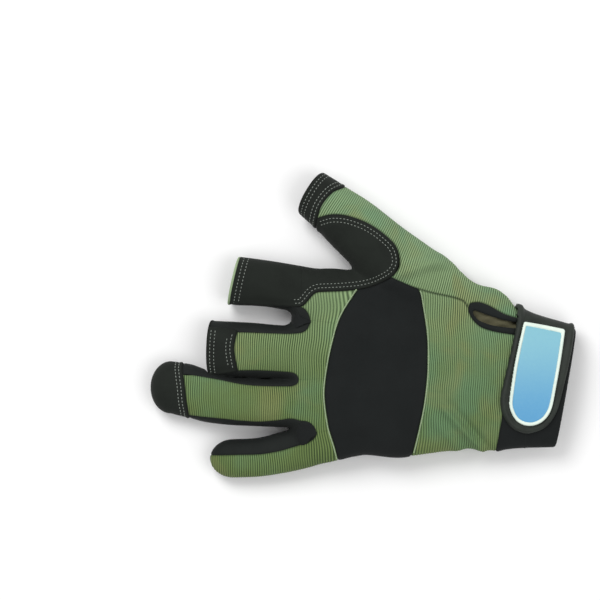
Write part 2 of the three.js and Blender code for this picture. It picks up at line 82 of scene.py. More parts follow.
# %% Sections of the tubes
# Columns: along, across, half width, height, lowest point.
HAND = np.array([
    [0.649, 0.487, 0.474, 0.76, 0.02], [0.581, 0.4965, 0.5025, 0.95, 0.0], [0.507, 0.507, 0.472, 1.0, 0.0],
    [0.412, 0.476, 0.4565, 1.0, 0.0], [0.318, 0.469, 0.426, 0.97, 0.0], [0.248, 0.486, 0.425, 0.93, 0.0],
    [0.196, 0.475, 0.427, 0.9, 0.0], [0.165, 0.4625, 0.3995, 0.88, 0.0], [0.12, 0.4175, 0.3455, 0.85, 0.0],
    [0.025, 0.385, 0.309, 0.82, 0.0], [-0.04, 0.37, 0.29, 0.82, 0.0],
])
INDEX = np.array([
    [0.801, 0.937, 0.128, 1.0, 0.0], [0.718, 0.919, 0.121, 1.02, 0.03], [0.626, 0.88, 0.125, 1.05, 0.08],
    [0.541, 0.843, 0.126, 1.05, 0.12],
])
MIDDLE_FINGER = np.array([
    [0.857, 0.586, 0.144, 1.0, 0.0], [0.765, 0.5755, 0.1445, 1.04, 0.02], [0.671, 0.563, 0.141, 1.08, 0.07],
    [0.541, 0.565, 0.141, 1.1, 0.1],
])
RING = np.array([
    [0.953, 0.38, 0.134, 0.95, 0.0], [0.906, 0.36, 0.142, 1.0, 0.0], [0.871, 0.336, 0.139, 1.0, 0.0],
    [0.812, 0.309, 0.127, 1.02, 0.02], [0.741, 0.3015, 0.1265, 1.04, 0.04], [0.671, 0.297, 0.129, 1.06, 0.07],
    [0.541, 0.283, 0.131, 1.08, 0.1],
])
LITTLE = np.array([
    [0.805, 0.0075, 0.1015, 0.85, 0.0], [0.746, 0.014, 0.103, 0.88, 0.0], [0.687, 0.041, 0.111, 0.92, 0.02],
    [0.624, 0.0795, 0.1175, 0.98, 0.05], [0.529, 0.137, 0.108, 1.05, 0.1],
])
THUMB = np.array([
    [0.619, 1.393, 0.122, 0.9, 0.0], [0.569, 1.309, 0.136, 0.98, 0.0], [0.52, 1.22, 0.152, 1.06, 0.01],
    [0.452, 1.089, 0.162, 1.11, 0.03], [0.372, 0.963, 0.16, 1.09, 0.05], [0.294, 0.838, 0.141, 0.95, 0.06],
    [0.224, 0.733, 0.095, 0.7, 0.08],
])
THUMB_ROOT = np.array([
    [0.48, 0.95, 0.12, 0.42, 0.07], [0.41, 0.92, 0.16, 0.5, 0.06], [0.33, 0.83, 0.16, 0.5, 0.06],
    [0.26, 0.75, 0.11, 0.4, 0.06],
])
print("sections", sum(len(rows) for rows in (HAND, INDEX, MIDDLE_FINGER, RING, LITTLE, THUMB, THUMB_ROOT)))

# %% [markdown]
# ## Distance to a tube
# The skin is where a distance is nought. A section is a rounded square: the powers of the shares across and
# up add to 1 on it. That norm isn't in millimetres, and dividing it by its own slope makes it nearly so.
# Past its two ends a tube closes in a dome of its own length.

# %% Distance to a tube
THUMB_HEADING = 37.0


def unit(vectors):
    """The same directions with a length of 1."""
    return vectors / np.maximum(np.linalg.norm(vectors, axis=-1, keepdims=True), 1e-9)


def spline(knots, t):
    """The smooth curve through the rows of knots, at t counted in rows: each piece is a cubic whose slope
    at a row is half the step from the row before to the row after."""
    knots, t = np.asarray(knots, float), np.asarray(t, float)
    i = np.clip(np.floor(t).astype(int), 0, len(knots) - 2)
    f = (t - i)[..., None]
    a, b, c, d = (knots[np.clip(i + k, 0, len(knots) - 1)] for k in (-1, 0, 1, 2))
    return b + 0.5 * f * (c - a + f * (2 * a - 5 * b + 4 * c - d + f * (3 * (b - c) + d - a)))


class Tube:
    """One tube of the form. Seen from above its axis runs forward, to the fingertips, and aside is square
    to it. Power says how square the sections are, and tip and root are the lengths of the domes at its
    ends."""

    def __init__(self, rows, thickness, base, heading=0.0, power=2.2, tip=9.0, root=14.0):
        angle = np.radians(heading)
        self.forward = np.array([-np.cos(angle), np.sin(angle)])
        self.aside = np.array([np.sin(angle), np.cos(angle)])
        self.power, self.tip, self.root = power, tip, root
        centre = place(rows)
        tall = rows[:, 3] * thickness / 2
        middle = base + rows[:, 4] * thickness + tall
        columns = [centre @ self.forward, centre @ self.aside, rows[:, 2] * PALM_WIDTH, tall, middle]
        dense = spline(np.column_stack(columns)[::-1], np.linspace(0, len(rows) - 1, 240))
        self.u, self.v, self.half, self.tall, self.middle = dense.T

    def section(self, u):
        """Middle, half width, half height and height of the middle of the section at u."""
        u = np.clip(u, self.u[0], self.u[-1])
        return [np.interp(u, self.u, column) for column in (self.v, self.half, self.tall, self.middle)]

    def skin(self, p):
        """About how far p is outside the tube: its section's rounded-square norm less 1, over that norm's
        slope."""
        u, v = p[..., :2] @ self.forward, p[..., :2] @ self.aside
        mid, half, tall, middle = self.section(u)
        a = np.abs(v - mid) / half + 1e-6
        b = np.abs(p[..., 2] - middle) / tall + 1e-6
        past_tip = np.maximum(u - self.u[-1], 0) / self.tip
        past_root = np.maximum(self.u[0] - u, 0) / self.root
        n = self.power
        ring = (a**n + b**n) ** (1 / n)
        whole = np.sqrt(ring**2 + past_tip**2 + past_root**2)
        across = (ring / whole) * ring ** (1 - n) * np.hypot(a ** (n - 1) / half, b ** (n - 1) / tall)
        slope = np.sqrt(across**2 + (past_tip / whole / self.tip) ** 2 + (past_root / whole / self.root) ** 2)
        return (whole - 1) / np.maximum(slope, 0.02)


hand = Tube(HAND, HAND_THICKNESS, HAND_BASE, power=2.5, tip=5.0)
index = Tube(INDEX, FINGER_THICKNESS, FINGER_BASE)
middle = Tube(MIDDLE_FINGER, FINGER_THICKNESS, FINGER_BASE)
ring = Tube(RING, FINGER_THICKNESS, FINGER_BASE, tip=0.047 * GLOVE_LENGTH)
little = Tube(LITTLE, FINGER_THICKNESS, FINGER_BASE, tip=0.056 * GLOVE_LENGTH)
thumb = Tube(THUMB, THUMB_THICKNESS, FINGER_BASE, heading=THUMB_HEADING, tip=12.0)
root = Tube(THUMB_ROOT, THUMB_THICKNESS, FINGER_BASE, heading=THUMB_HEADING, tip=4.0)
lengths = [round(float(tube.u[-1] - tube.u[0])) for tube in (hand, index, middle, ring, little, thumb)]
print("tubes", lengths, "mm long")

# %% [markdown]
# ## One soft form
# Cloth runs from the hand into a finger in a rounded valley, not a sharp crease. A smooth minimum of the
# tubes' distances gives that. The folds that the cloth throws are added to the same form, as low ridges
# along lines on the table, so that neighbouring panels share them.

# %% The form
ROOT_BLEND, THUMB_BLEND, SIDE_BLEND = 8.0, 6.0, 2.4
CROTCH_BLEND = 3.6  # more than at the hand's sides
KNUCKLE_MIDDLE = place([0.6, 0.47])[1]
FOLDS = np.array([  # from along, across, to along, across, width and height in millimetres
    [0.444, 0.95, 0.385, 1.0, 3.4, 2.3],
    [0.395, 0.99, 0.32, 1.045, 4.0, 3.0],
    [0.335, 1.035, 0.27, 1.0, 4.4, 2.0],
    [0.352, 0.975, 0.285, 0.99, 4.0, -1.8],
    [0.318, 0.285, 0.216, 0.04, 2.5, 2.6],
    [0.3, 0.3, 0.204, 0.06, 2.2, -1.5],
    [0.345, 0.25, 0.27, 0.03, 3.0, 1.3],
    [0.235, 0.87, 0.17, 0.84, 3.5, 1.3],
    [0.222, 0.62, 0.185, 0.4, 2.6, 0.8],
    [0.29, 0.62, 0.25, 0.35, 4.5, 0.6],
])


def blend(a, b, soft):
    """The lesser of two distances, rounded off over the width soft (one number, or one for each point)."""
    near = np.maximum(soft - np.abs(a - b), 0) / soft
    return np.minimum(a, b) - near**2 * soft / 4


def segment_distance(p, start, end):
    """Distance in plan from points to a segment, and how far along it the nearest place is, from 0 to 1."""
    way = end - start
    t = np.clip(((p - start) @ way) / (way @ way), 0, 1)
    return np.linalg.norm(p - start - t[..., None] * way, axis=-1), t


def fold_height(p):
    """Height of the folds at points: bell-shaped ridges that fade at their ends and towards the palm."""
    height = np.zeros(p.shape[:-1])
    for row in FOLDS:
        distance, t = segment_distance(p[..., :2], *place(row[:4].reshape(2, 2)))
        height += row[5] * np.exp(-((distance / row[4]) ** 2)) * np.sin(np.pi * (0.18 + 0.64 * t))
    return height * np.clip((p[..., 2] - 9) / 6, 0, 1)


def form(p):
    """About how far p is outside the glove: fingers and thumb blended into the hand, with the folds on top.
    The blend is wider between the fingers than at the hand's two sides, where the cloth runs straight
    on."""
    fingers = np.minimum.reduce([tube.skin(p) for tube in (index, middle, ring, little)])
    body = blend(blend(hand.skin(p), root.skin(p), ROOT_BLEND), thumb.skin(p), THUMB_BLEND)
    crotches = np.clip((38 - np.abs(p[..., 1] - KNUCKLE_MIDDLE)) / 8, 0, 1)
    return blend(body, fingers, SIDE_BLEND + CROTCH_BLEND * crotches) - fold_height(p)


def cast(start, heading, longest=24.0, shape=form):
    """Walks from points inside a shape along their headings to its skin, a step as long as the distance
    left."""
    t = np.zeros(start.shape[:-1])
    for _ in range(28):
        t = np.clip(t - 0.85 * shape(start + t[..., None] * heading), 0, longest)
    return start + t[..., None] * heading


UP = np.array([0.0, 0.0, 1.0])
inside = np.append(place([0.3, 0.5]), 10.0)[None, None]
print("skin above the middle of the hand at", cast(inside, UP[None, None])[0, 0, 2].round(1), "mm")

# %% [markdown]
# ## Charts of the skin
# A panel has to follow the form round its sides, which a height map can't do. So the skin is charted from
# inside: rays leave the axis of a tube square to it, all the way round. Rows of a chart run along the axis
# and columns round it. A chart is coarse, and cubic curves through it give the smooth skin at any place.

# %% Charts
def outward(p, shape=form):
    """Unit vectors out of a shape: the slope of its distance, from a short step either way along each
    axis."""
    return unit(np.stack([shape(p + 0.35 * axis) - shape(p - 0.35 * axis) for axis in np.eye(3)], axis=-1))


def cubic_weights(f):
    """Weights of four neighbours in the smooth curve of spline(), at the share f between the middle two."""
    f2, f3 = f * f, f * f * f
    return 0.5 * np.stack([-f + 2 * f2 - f3, 2 - 5 * f2 + 3 * f3, f + 4 * f2 - 3 * f3, f3 - f2])


class Chart:
    """Points of the skin in rows along a path and columns round it, and the way out of the form at each."""

    def __init__(self, start, heading, closed, longest=24.0, tube=None, u=None, shape=form):
        self.closed, self.tube, self.u = closed, tube, u
        points = cast(start, heading, longest, shape)
        self.knots = np.concatenate([points, outward(points, shape)], axis=-1)
        self.rows, self.columns = points.shape[:2]

    def at(self, w, m):
        """The skin at row w and column m, which may lie between rows and columns, and the way out of it."""
        w = np.clip(w, 0, self.rows - 1)
        i, j = np.floor(w).astype(int), np.floor(m).astype(int)
        along, across = cubic_weights(w - i), cubic_weights(m - j)
        found = 0
        for a in range(4):
            row = np.clip(i + a - 1, 0, self.rows - 1)
            for b in range(4):
                column = j + b - 1
                column = column % self.columns if self.closed else np.clip(column, 0, self.columns - 1)
                found = found + (along[a] * across[b])[..., None] * self.knots[row, column]
        return found[..., :3], unit(found[..., 3:])

    def row(self, along):
        """The row at a place along the glove, for a chart made from a tube."""
        return float(np.interp(place([along, 0.5]) @ self.tube.forward, self.u, np.arange(len(self.u))))

    def span(self, first=None, last=None):
        """The rows between two places along the glove. None stands for the chart's own end."""
        return 0 if first is None else self.row(first), self.rows - 1 if last is None else self.row(last)


above_hand = Chart(inside, UP[None, None], closed=False)
print("way out above the middle of the hand", above_hand.knots[0, 0, 3:].round(2))

# %% [markdown]
# ## Charts all the way round
# A finger's section is flatter than a circle, so its rays leave from a short line and not from one point.
# That spreads the columns evenly. A closed fingertip is a dome: its last rows turn the rays forward by a
# quarter turn.

# %% Charts all the way round
def stadium(shares, flat, radius):
    """Where rays leave from and head to, round a flat-topped section. The way round has four parts: fans of
    half a turn at each side, and flat runs over the top and under the bottom."""
    q = shares * (4 * flat + 2 * np.pi * radius)
    fan = np.pi * radius / 2
    ends = [fan, fan + 2 * flat, 3 * fan + 2 * flat, 3 * fan + 4 * flat]
    choices = [q < end for end in ends]
    still = 0 * q
    angles = [q / radius, np.pi / 2 + still, np.pi / 2 + (q - ends[1]) / radius, 1.5 * np.pi + still]
    offsets = [flat + still, flat - (q - ends[0]), -flat + still, -flat + (q - ends[2])]
    angle = np.select(choices, angles, 1.5 * np.pi + (q - ends[3]) / radius)
    return np.select(choices, offsets, flat), angle


def with_dome(values, dome):
    """Values by row, with the last row repeated for each row of the dome."""
    return np.concatenate([values, np.repeat(values[-1:], dome, axis=0)])


def dome_tilt(rows, dome):
    """How far the rays lean forward in each row, with axes added to multiply vectors: a quarter turn over
    the dome."""
    return np.concatenate([np.zeros(rows), np.radians(np.linspace(0, 90, dome + 1)[1:])])[:, None, None]


def level_vectors(pairs):
    """Plan directions by row, made level vectors in space with an axis for the columns."""
    return np.column_stack([pairs, np.zeros(len(pairs))])[:, None, :]


def ring_chart(centres, forward, aside, flat, radius, columns=96, dome=0, **more):
    """A chart all the way round a path. Column 0 faces aside, a quarter of them on is the top, and dome
    more rows turn the rays forward at the end, to close a fingertip."""
    offset, angle = stadium(np.arange(columns)[None, :] / columns, flat[:, None], radius[:, None])
    tilt = dome_tilt(len(centres), dome)
    parts = (centres, forward, aside, offset, angle)
    centres, forward, aside, offset, angle = (with_dome(x, dome) for x in parts)
    side = level_vectors(aside)
    heading = np.cos(angle)[..., None] * side + np.sin(angle)[..., None] * UP
    heading = np.cos(tilt) * heading + np.sin(tilt) * level_vectors(forward)
    start = centres[:, None, :] + (offset * np.cos(tilt[..., 0]))[..., None] * side
    return Chart(start, heading, closed=True, **more)


def tube_chart(tube, first, last, step=2.0, spread=(0, 1, 0), **more):
    """A ring chart from a tube's own axis, between two places along the glove. spread widens the rays by
    its last number of millimetres where the tube has run into the hand."""
    first, last = (place([along, 0.5]) @ tube.forward for along in (first, last))
    last = min(last, tube.u[-1]) if more.get("dome") else last
    u = np.linspace(first, last, max(int((last - first) / step) + 1, 8))
    mid, half, tall, height = tube.section(u)
    centres = np.column_stack([u[:, None] * tube.forward + mid[:, None] * tube.aside, height])
    behind = np.clip((place([spread[0], 0.5]) @ tube.forward - u) / spread[1], 0, 1)
    flat = np.maximum(half - tall, 1.0) + spread[2] * behind
    ones = np.ones((len(u), 1))
    return ring_chart(centres, ones * tube.forward, ones * tube.aside, flat, tall, tube=tube, u=u, **more)


hand_chart = tube_chart(hand, -0.02, 0.665, step=2.2, columns=136)
index_chart = tube_chart(index, 0.49, 0.84, spread=(0.66, 12.0, 8.0))
middle_chart = tube_chart(middle, 0.53, 0.895, spread=(0.65, 12.0, 14.0))
ring_finger_chart = tube_chart(ring, 0.53, 1.0, spread=(0.65, 12.0, 8.0), dome=14)
little_chart = tube_chart(little, 0.50, 1.0, spread=(0.61, 12.0, 5.0), dome=14)
middle_tip_chart = tube_chart(middle, 0.8, 0.895, shape=middle.skin)
ring_side_chart = tube_chart(ring, 0.8, 0.96, step=1.5, shape=ring.skin)
print("hand chart", hand_chart.knots.shape[:2], "index chart", index_chart.knots.shape[:2])

# %% [markdown]
# ## Charts along a path
# The thumb leaves the hand at a slant, so its rays leave from a bent path. The strips between the fingers
# follow paths too: down one finger, round behind the crotch and up the next. The middle and ring fingers
# lie together, so the valley between them is charted straight up instead, and the palm is charted straight
# down.

# %% Charts along a path
def run_along(points):
    """The distance run along a line at each of its points."""
    return np.concatenate([[0], np.cumsum(np.linalg.norm(np.diff(points, axis=0), axis=1))])


def read_line(at, run, values):
    """What a line's values are at given distances along it."""
    return np.column_stack([np.interp(at, run, column) for column in values.T])


def path_chart(pairs, height, angles=(125, -75), step=1.2, columns=61, dome=0):
    """A chart of the skin on the right-hand side of a path inside the form, for what lies round a crotch.
    The rays fan from the first of two angles, up over the side, to the second."""
    knots = place(pairs)
    fine = spline(knots, np.linspace(0, len(knots) - 1, 400))
    run = run_along(fine)
    path = read_line(np.linspace(0, run[-1], int(run[-1] / step)), run, fine)
    way = np.gradient(path, axis=0)
    for _ in range(3):
        way[1:-1] = (way[:-2] + 2 * way[1:-1] + way[2:]) / 4
    way = unit(way)
    tilt = dome_tilt(len(path), dome)
    path, way = (with_dome(x, dome) for x in (path, way))
    out = level_vectors(np.column_stack([way[:, 1], -way[:, 0]]))
    angle = np.radians(np.linspace(*angles, columns))[None, :, None]
    heading = np.cos(angle) * out + np.sin(angle) * UP
    heading = np.cos(tilt) * heading + np.sin(tilt) * level_vectors(way)
    start = np.column_stack([path, np.full(len(path), height)])[:, None, :] + 0 * heading
    return Chart(start, heading, closed=False, longest=22.0)


def plan_chart(corner_a, corner_b, height, upward, step=1.2):
    """A chart by upright rays from a level plane inside the form. Past the form's edge it stays on the
    plane."""
    (x0, y0), (x1, y1) = place(corner_a), place(corner_b)
    x = np.linspace(x0, x1, int(abs(x1 - x0) / step))
    y = np.linspace(y0, y1, int(abs(y1 - y0) / step))
    start = np.stack(np.broadcast_arrays(x[:, None], y[None, :], height), axis=-1).astype(float)
    return Chart(start, (UP if upward else -UP) + 0 * start, closed=False)


PLAN_CORNERS = ([-0.03, -0.2], [1.02, 1.56])  # of the charts that cover the whole glove
THUMB_PATH = [
    [0.10, 0.68], [0.15, 0.69], [0.2, 0.72], [0.25, 0.78], [0.31, 0.865], [0.372, 0.963], [0.452, 1.089],
    [0.52, 1.22], [0.569, 1.309], [0.619, 1.393], [0.655, 1.455]]
THUMB_ROWS, THUMB_FLAT = 76, 4.0
thumb_path = spline(place(THUMB_PATH), np.linspace(0, len(THUMB_PATH) - 1, THUMB_ROWS))
thumb_way = unit(np.gradient(thumb_path, axis=0))
thumb_aside = np.column_stack([thumb_way[:, 1], -thumb_way[:, 0]])
thumb_aside *= np.sign(thumb_aside @ thumb.aside)[:, None]
thumb_u = thumb_path @ thumb.forward
thumb_tall, thumb_mid = (np.interp(thumb_u, thumb.u, x) for x in (thumb.tall, thumb.middle))
thumb_chart = ring_chart(
    np.column_stack([thumb_path, thumb_mid]), thumb_way, thumb_aside, np.full(THUMB_ROWS, THUMB_FLAT),
    np.maximum(thumb_tall * 0.9, 7.0))

web_chart = path_chart([
    [0.655, 1.455], [0.619, 1.393], [0.569, 1.309], [0.535, 1.235], [0.505, 1.15], [0.487, 1.07],
    [0.484, 0.99], [0.5, 0.925], [0.545, 0.875], [0.6, 0.87], [0.66, 0.895], [0.72, 0.919],
], 12.0, angles=(155, -75), columns=77)
index_gap_chart = path_chart([
    [0.84, 0.945], [0.801, 0.937], [0.718, 0.919], [0.65, 0.885], [0.6, 0.83], [0.575, 0.725], [0.6, 0.62],
    [0.65, 0.575], [0.72, 0.57], [0.8, 0.58], [0.895, 0.59]], 10.5)
ring_gap_chart = path_chart([
    [0.95, 0.376], [0.871, 0.336], [0.812, 0.309], [0.741, 0.298], [0.65, 0.28], [0.59, 0.22], [0.57, 0.15],
    [0.59, 0.095], [0.64, 0.06], [0.687, 0.039], [0.746, 0.01], [0.805, 0.004]], 9.0, dome=12)
valley_chart = plan_chart([0.62, 0.34], [0.9, 0.52], 9.0, upward=True, step=0.6)
palm_chart = plan_chart(*PLAN_CORNERS, 8.0, upward=False)
top_chart = plan_chart(*PLAN_CORNERS, 9.0, upward=True)
print("rows and columns", [x.knots.shape[:2] for x in (thumb_chart, web_chart, palm_chart)])

# %% [markdown]
# ## Seam lines
# The seams are drawn as they look from above, in shares of the glove. Each closed line becomes a map of how
# far inside it a place is. Where a panel ends, that number changes sign, and near the end it says how far
# the cloth has rolled into the seam. The same kind of test serves the palm seam, which is a height, and the
# cut fingers.

# %% Seam lines
RASTER_X, RASTER_Y = np.arange(-142.0, 143.0), np.arange(-106.0, 112.0)


def smooth_line(knots, steps=5):
    """A closed smooth line through knots. Its direction at a knot is from the knot before to the one after,
    and its speed there is the shorter of the two steps, so it rounds a corner without bulging."""
    before, after = np.roll(knots, 1, axis=0), np.roll(knots, -1, axis=0)
    gone, ahead = np.linalg.norm(knots - before, axis=1), np.linalg.norm(after - knots, axis=1)
    speed = np.minimum(gone, ahead)
    way = (after - before) * (speed / np.maximum(np.linalg.norm(after - before, axis=1), 1e-9))[:, None]
    knots, way = np.concatenate([knots, knots[:1]]), np.concatenate([way, way[:1]])
    t = np.arange(0, len(knots) - 1, 1 / steps)
    i = np.floor(t).astype(int)
    f = (t - i)[:, None]
    return ((1 + 2 * f) * (1 - f) ** 2 * knots[i] + f * (1 - f) ** 2 * way[i]
            + f**2 * (3 - 2 * f) * knots[i + 1] + f**2 * (f - 1) * way[i + 1])


def distance_inside(p, points):
    """Distance in plan to a closed line of points, positive inside it. A place is inside if a line from it
    crosses the outline an odd number of times."""
    start, end = points, np.roll(points, -1, axis=0)
    way = end - start
    rel = p[..., None, :2] - start
    t = np.clip((rel * way).sum(-1) / np.maximum((way * way).sum(-1), 1e-9), 0, 1)
    nearest = np.sqrt(((rel - t[..., None] * way) ** 2).sum(-1)).min(-1)
    crosses = (start[:, 1] > p[..., None, 1]) != (end[:, 1] > p[..., None, 1])
    x = start[:, 0] + rel[..., 1] * way[:, 0] / np.where(way[:, 1] == 0, 1e-9, way[:, 1])
    return np.where((crosses & (p[..., None, 0] < x)).sum(-1) % 2 == 1, nearest, -nearest)


class Seam:
    """A closed seam line. Called with points, it says how far inside it they are in plan, read between the
    places of a raster a millimetre apart."""

    def __init__(self, pairs):
        self.points = smooth_line(place(pairs))
        spots = np.stack(np.meshgrid(RASTER_X, RASTER_Y, indexing="ij"), axis=-1)
        self.map = np.concatenate([distance_inside(band, self.points) for band in np.array_split(spots, 8)])

    def __call__(self, p):
        x = np.clip(p[..., 0] - RASTER_X[0], 0, len(RASTER_X) - 1.001)
        y = np.clip(p[..., 1] - RASTER_Y[0], 0, len(RASTER_Y) - 1.001)
        i, j = x.astype(int), y.astype(int)
        f, g = x - i, y - j
        near = self.map[i, j] * (1 - g) + self.map[i, j + 1] * g
        far = self.map[i + 1, j] * (1 - g) + self.map[i + 1, j + 1] * g
        return near * (1 - f) + far * f


def outside(seam):
    """The test of being outside a seam line."""
    return lambda p: -seam(p)


def above(height):
    """The test of lying above a height."""
    return lambda p: p[..., 2] - height


def below(height):
    """The test of lying below a height."""
    return lambda p: height - p[..., 2]


def cut_end(along, across, turn, lean, height):
    """The plane where a finger is cut off, which leans out over its open end. Positive on the hand's
    side."""
    forward = -np.array([np.cos(np.radians(turn)), np.sin(np.radians(turn))])
    at = place([along, across])
    return lambda p: (at - p[..., :2]) @ forward + np.tan(np.radians(lean)) * (p[..., 2] - height)


def whichever(line_across, thumb_side, other_side):
    """One test on the thumb's side of a place across the hand, and another beyond it."""
    y = place([0.5, line_across])[1]
    return lambda p: np.where(p[..., 1] > y, thumb_side(p), other_side(p))


print("seam maps of", len(RASTER_X), "by", len(RASTER_Y), "places")

# %% [markdown]
# ## The seams of this glove
# A seam line has only the knots that its bends need. Where a line leaves the glove it runs wide of it,
# because a panel ends there at another seam or at the palm's. Lanes are lines where one finger's chart
# hands over to the next and the cloth carries on, so no edge is rolled there.

# %% The seams of this glove
WEB = Seam([
    [0.607, 1.262], [0.576, 1.28], [0.541, 1.275], [0.501, 1.246], [0.471, 1.209], [0.447, 1.168],
    [0.428, 1.126], [0.418, 1.079], [0.416, 1.026], [0.424, 0.984], [0.438, 0.953], [0.471, 0.916],
    [0.506, 0.895], [0.553, 0.885], [0.605, 0.88], [0.619, 0.864], [0.635, 0.822], [0.647, 0.803],
    [0.68, 0.802], [0.8, 0.815], [0.87, 0.82], [0.9, 1.18], [0.66, 1.23], [0.625, 1.245]])
KNUCKLE = Seam([
    [0.508, 0.9], [0.438, 0.96], [0.412, 0.927], [0.374, 0.897], [0.361, 0.791], [0.352, 0.65],
    [0.351, 0.5], [0.353, 0.416], [0.361, 0.277], [0.382, 0.061], [0.4, -0.06], [0.42, -0.15],
    [0.53, -0.15], [0.552, -0.05], [0.567, 0.07], [0.582, 0.183], [0.591, 0.34], [0.586, 0.463],
    [0.574, 0.602], [0.555, 0.743], [0.525, 0.855]])
THUMB_PANEL = Seam([
    [0.43, 0.945], [0.412, 0.927], [0.374, 0.895], [0.336, 0.872], [0.294, 0.853], [0.266, 0.832],
    [0.253, 0.796], [0.2, 0.75], [0.13, 0.69], [-0.05, 0.69], [-0.05, 1.3], [0.4, 1.8], [0.72, 1.8],
    [0.72, 1.25], [0.5, 1.03]])
THUMB_BAND = Seam([
    [0.515, 1.53], [0.53, 1.47], [0.543, 1.43], [0.57, 1.402], [0.588, 1.362], [0.6, 1.322], [0.607, 1.277],
    [0.611, 1.22], [0.612, 1.15], [0.75, 1.15], [0.75, 1.6], [0.56, 1.65]])
MIDDLE_BAND = Seam([
    [0.796, 0.68], [0.798, 0.655], [0.803, 0.607], [0.803, 0.56], [0.798, 0.499], [0.795, 0.466],
    [0.8, 0.462], [0.92, 0.462], [0.92, 0.68], [0.8, 0.684]])
CAP = Seam([
    [0.924, 0.56], [0.925, 0.487], [0.922, 0.43], [0.919, 0.382], [0.916, 0.31], [0.911, 0.241],
    [0.911, 0.16], [1.05, 0.16], [1.05, 0.56]])
GUSSET_INDEX = Seam([
    [0.92, 0.822], [0.8, 0.815], [0.68, 0.802], [0.647, 0.8], [0.636, 0.785], [0.628, 0.755],
    [0.626, 0.723], [0.632, 0.688], [0.647, 0.668], [0.68, 0.664], [0.8, 0.672], [0.92, 0.672]])
GUSSET_MIDDLE = Seam([
    [0.85, 0.462], [0.795, 0.466], [0.741, 0.467], [0.671, 0.458], [0.658, 0.447], [0.653, 0.424],
    [0.657, 0.402], [0.671, 0.391], [0.741, 0.393], [0.788, 0.403], [0.835, 0.424], [0.906, 0.45],
    [0.95, 0.455], [0.95, 0.52], [0.92, 0.56], [0.87, 0.56], [0.87, 0.47]])
GUSSET_RING = Seam([
    [0.95, 0.236], [0.927, 0.236], [0.882, 0.225], [0.835, 0.215], [0.788, 0.204], [0.741, 0.199],
    [0.694, 0.209], [0.671, 0.217], [0.647, 0.207], [0.624, 0.191], [0.612, 0.147], [0.619, 0.11],
    [0.647, 0.084], [0.671, 0.068], [0.694, 0.052], [0.741, 0.034], [0.788, 0.031], [0.9, 0.034],
    [0.9, 0.141], [0.95, 0.16]])
VENT = Seam([
    [0.254, 0.797], [0.249, 0.82], [0.228, 0.824], [0.204, 0.805], [0.169, 0.763], [0.12, 0.722],
    [0.13, 0.655], [0.152, 0.66], [0.193, 0.675], [0.224, 0.697], [0.244, 0.736], [0.253, 0.775]])
VENT_HOLE = Seam([
    [0.242, 0.785], [0.228, 0.776], [0.2, 0.755], [0.173, 0.736], [0.11, 0.71], [0.11, 0.683],
    [0.18, 0.698], [0.207, 0.71], [0.231, 0.732], [0.243, 0.762]])
CUFF = Seam([
    [0.104, 1.2], [0.134, 0.786], [0.16, 0.43], [0.188, 0.042], [0.209, -0.25], [-0.25, -0.25],
    [-0.25, 1.2]])
CUFF_END = Seam([
    [-0.042, 1.2], [-0.002, 0.7], [0.025, 0.36], [0.05, 0.04], [0.0734, -0.25], [-0.35, -0.25],
    [-0.35, 1.2]])
STRAP = Seam([
    [0.133, 0.9], [0.1405, 0.743], [0.148, 0.66], [0.162, 0.513], [0.175, 0.398], [0.181, 0.325],
    [0.179, 0.272], [0.168, 0.215], [0.15, 0.172], [0.118, 0.148], [0.08, 0.172], [0.059, 0.217],
    [0.045, 0.28], [0.031, 0.4], [0.019, 0.513], [0.011, 0.6], [0.004, 0.69], [-0.008, 0.9]])
BADGE = Seam([
    [0.1275, 0.713], [0.1255, 0.71], [0.078, 0.688], [0.032, 0.665], [0.031, 0.658], [0.04, 0.53],
    [0.05, 0.405], [0.062, 0.277], [0.081, 0.216], [0.112, 0.192], [0.143, 0.216], [0.159, 0.277],
    [0.16, 0.33], [0.151, 0.474], [0.141, 0.59], [0.129, 0.707]])
THENAR = Seam([
    [0.51, 0.87], [0.45, 0.9], [0.38, 0.87], [0.31, 0.8], [0.25, 0.7], [0.235, 0.6], [0.27, 0.53],
    [0.33, 0.53], [0.39, 0.58], [0.44, 0.66], [0.5, 0.7], [0.56, 0.73], [0.58, 0.79], [0.56, 0.85]])
HEEL = Seam([
    [0.55, 0.6], [0.5, 0.6], [0.45, 0.55], [0.4, 0.47], [0.34, 0.42], [0.27, 0.41], [0.23, 0.36],
    [0.225, 0.24], [0.26, 0.14], [0.34, 0.1], [0.44, 0.1], [0.53, 0.14], [0.585, 0.25], [0.595, 0.4],
    [0.585, 0.53]])
INDEX_LANE = Seam([[0.48, 0.71], [0.58, 0.72], [0.626, 0.73], [0.75, 0.73], [0.75, 1.2], [0.48, 1.2]])
MIDDLE_LANE = Seam([
    [0.48, 0.425], [0.55, 0.43], [0.649, 0.424], [0.70, 0.424], [0.741, 0.4265], [0.812, 0.439],
    [0.857, 0.456], [0.95, 0.474], [0.95, 0.73], [0.626, 0.73], [0.58, 0.72], [0.48, 0.71]])
LITTLE_LANE = Seam([[0.48, 0.145], [0.612, 0.147], [0.70, 0.145], [0.95, 0.13], [0.95, -0.3], [0.48, -0.3]])
INDEX_CORNER = place([0.645, 1.3])


def index_ahead(p):
    """Positive towards the index finger's tip, where its own chart takes over from the web's."""
    return np.minimum(INDEX_CORNER[0] - p[..., 0], INDEX_CORNER[1] - p[..., 1])


index_end = cut_end(0.801, 0.937, turn=-13, lean=4, height=9.2)
middle_end = cut_end(0.857, 0.586, turn=-2, lean=14, height=9.2)
thumb_end = cut_end(0.619, 1.393, turn=-31, lean=18, height=10.9)
finger_ends = whichever(0.76, index_end, middle_end)
back_of_hand = above(PALM_SEAM)
print("pad's seam", len(KNUCKLE.points), "points, deepest place", KNUCKLE.map.max().round(1), "mm inside")

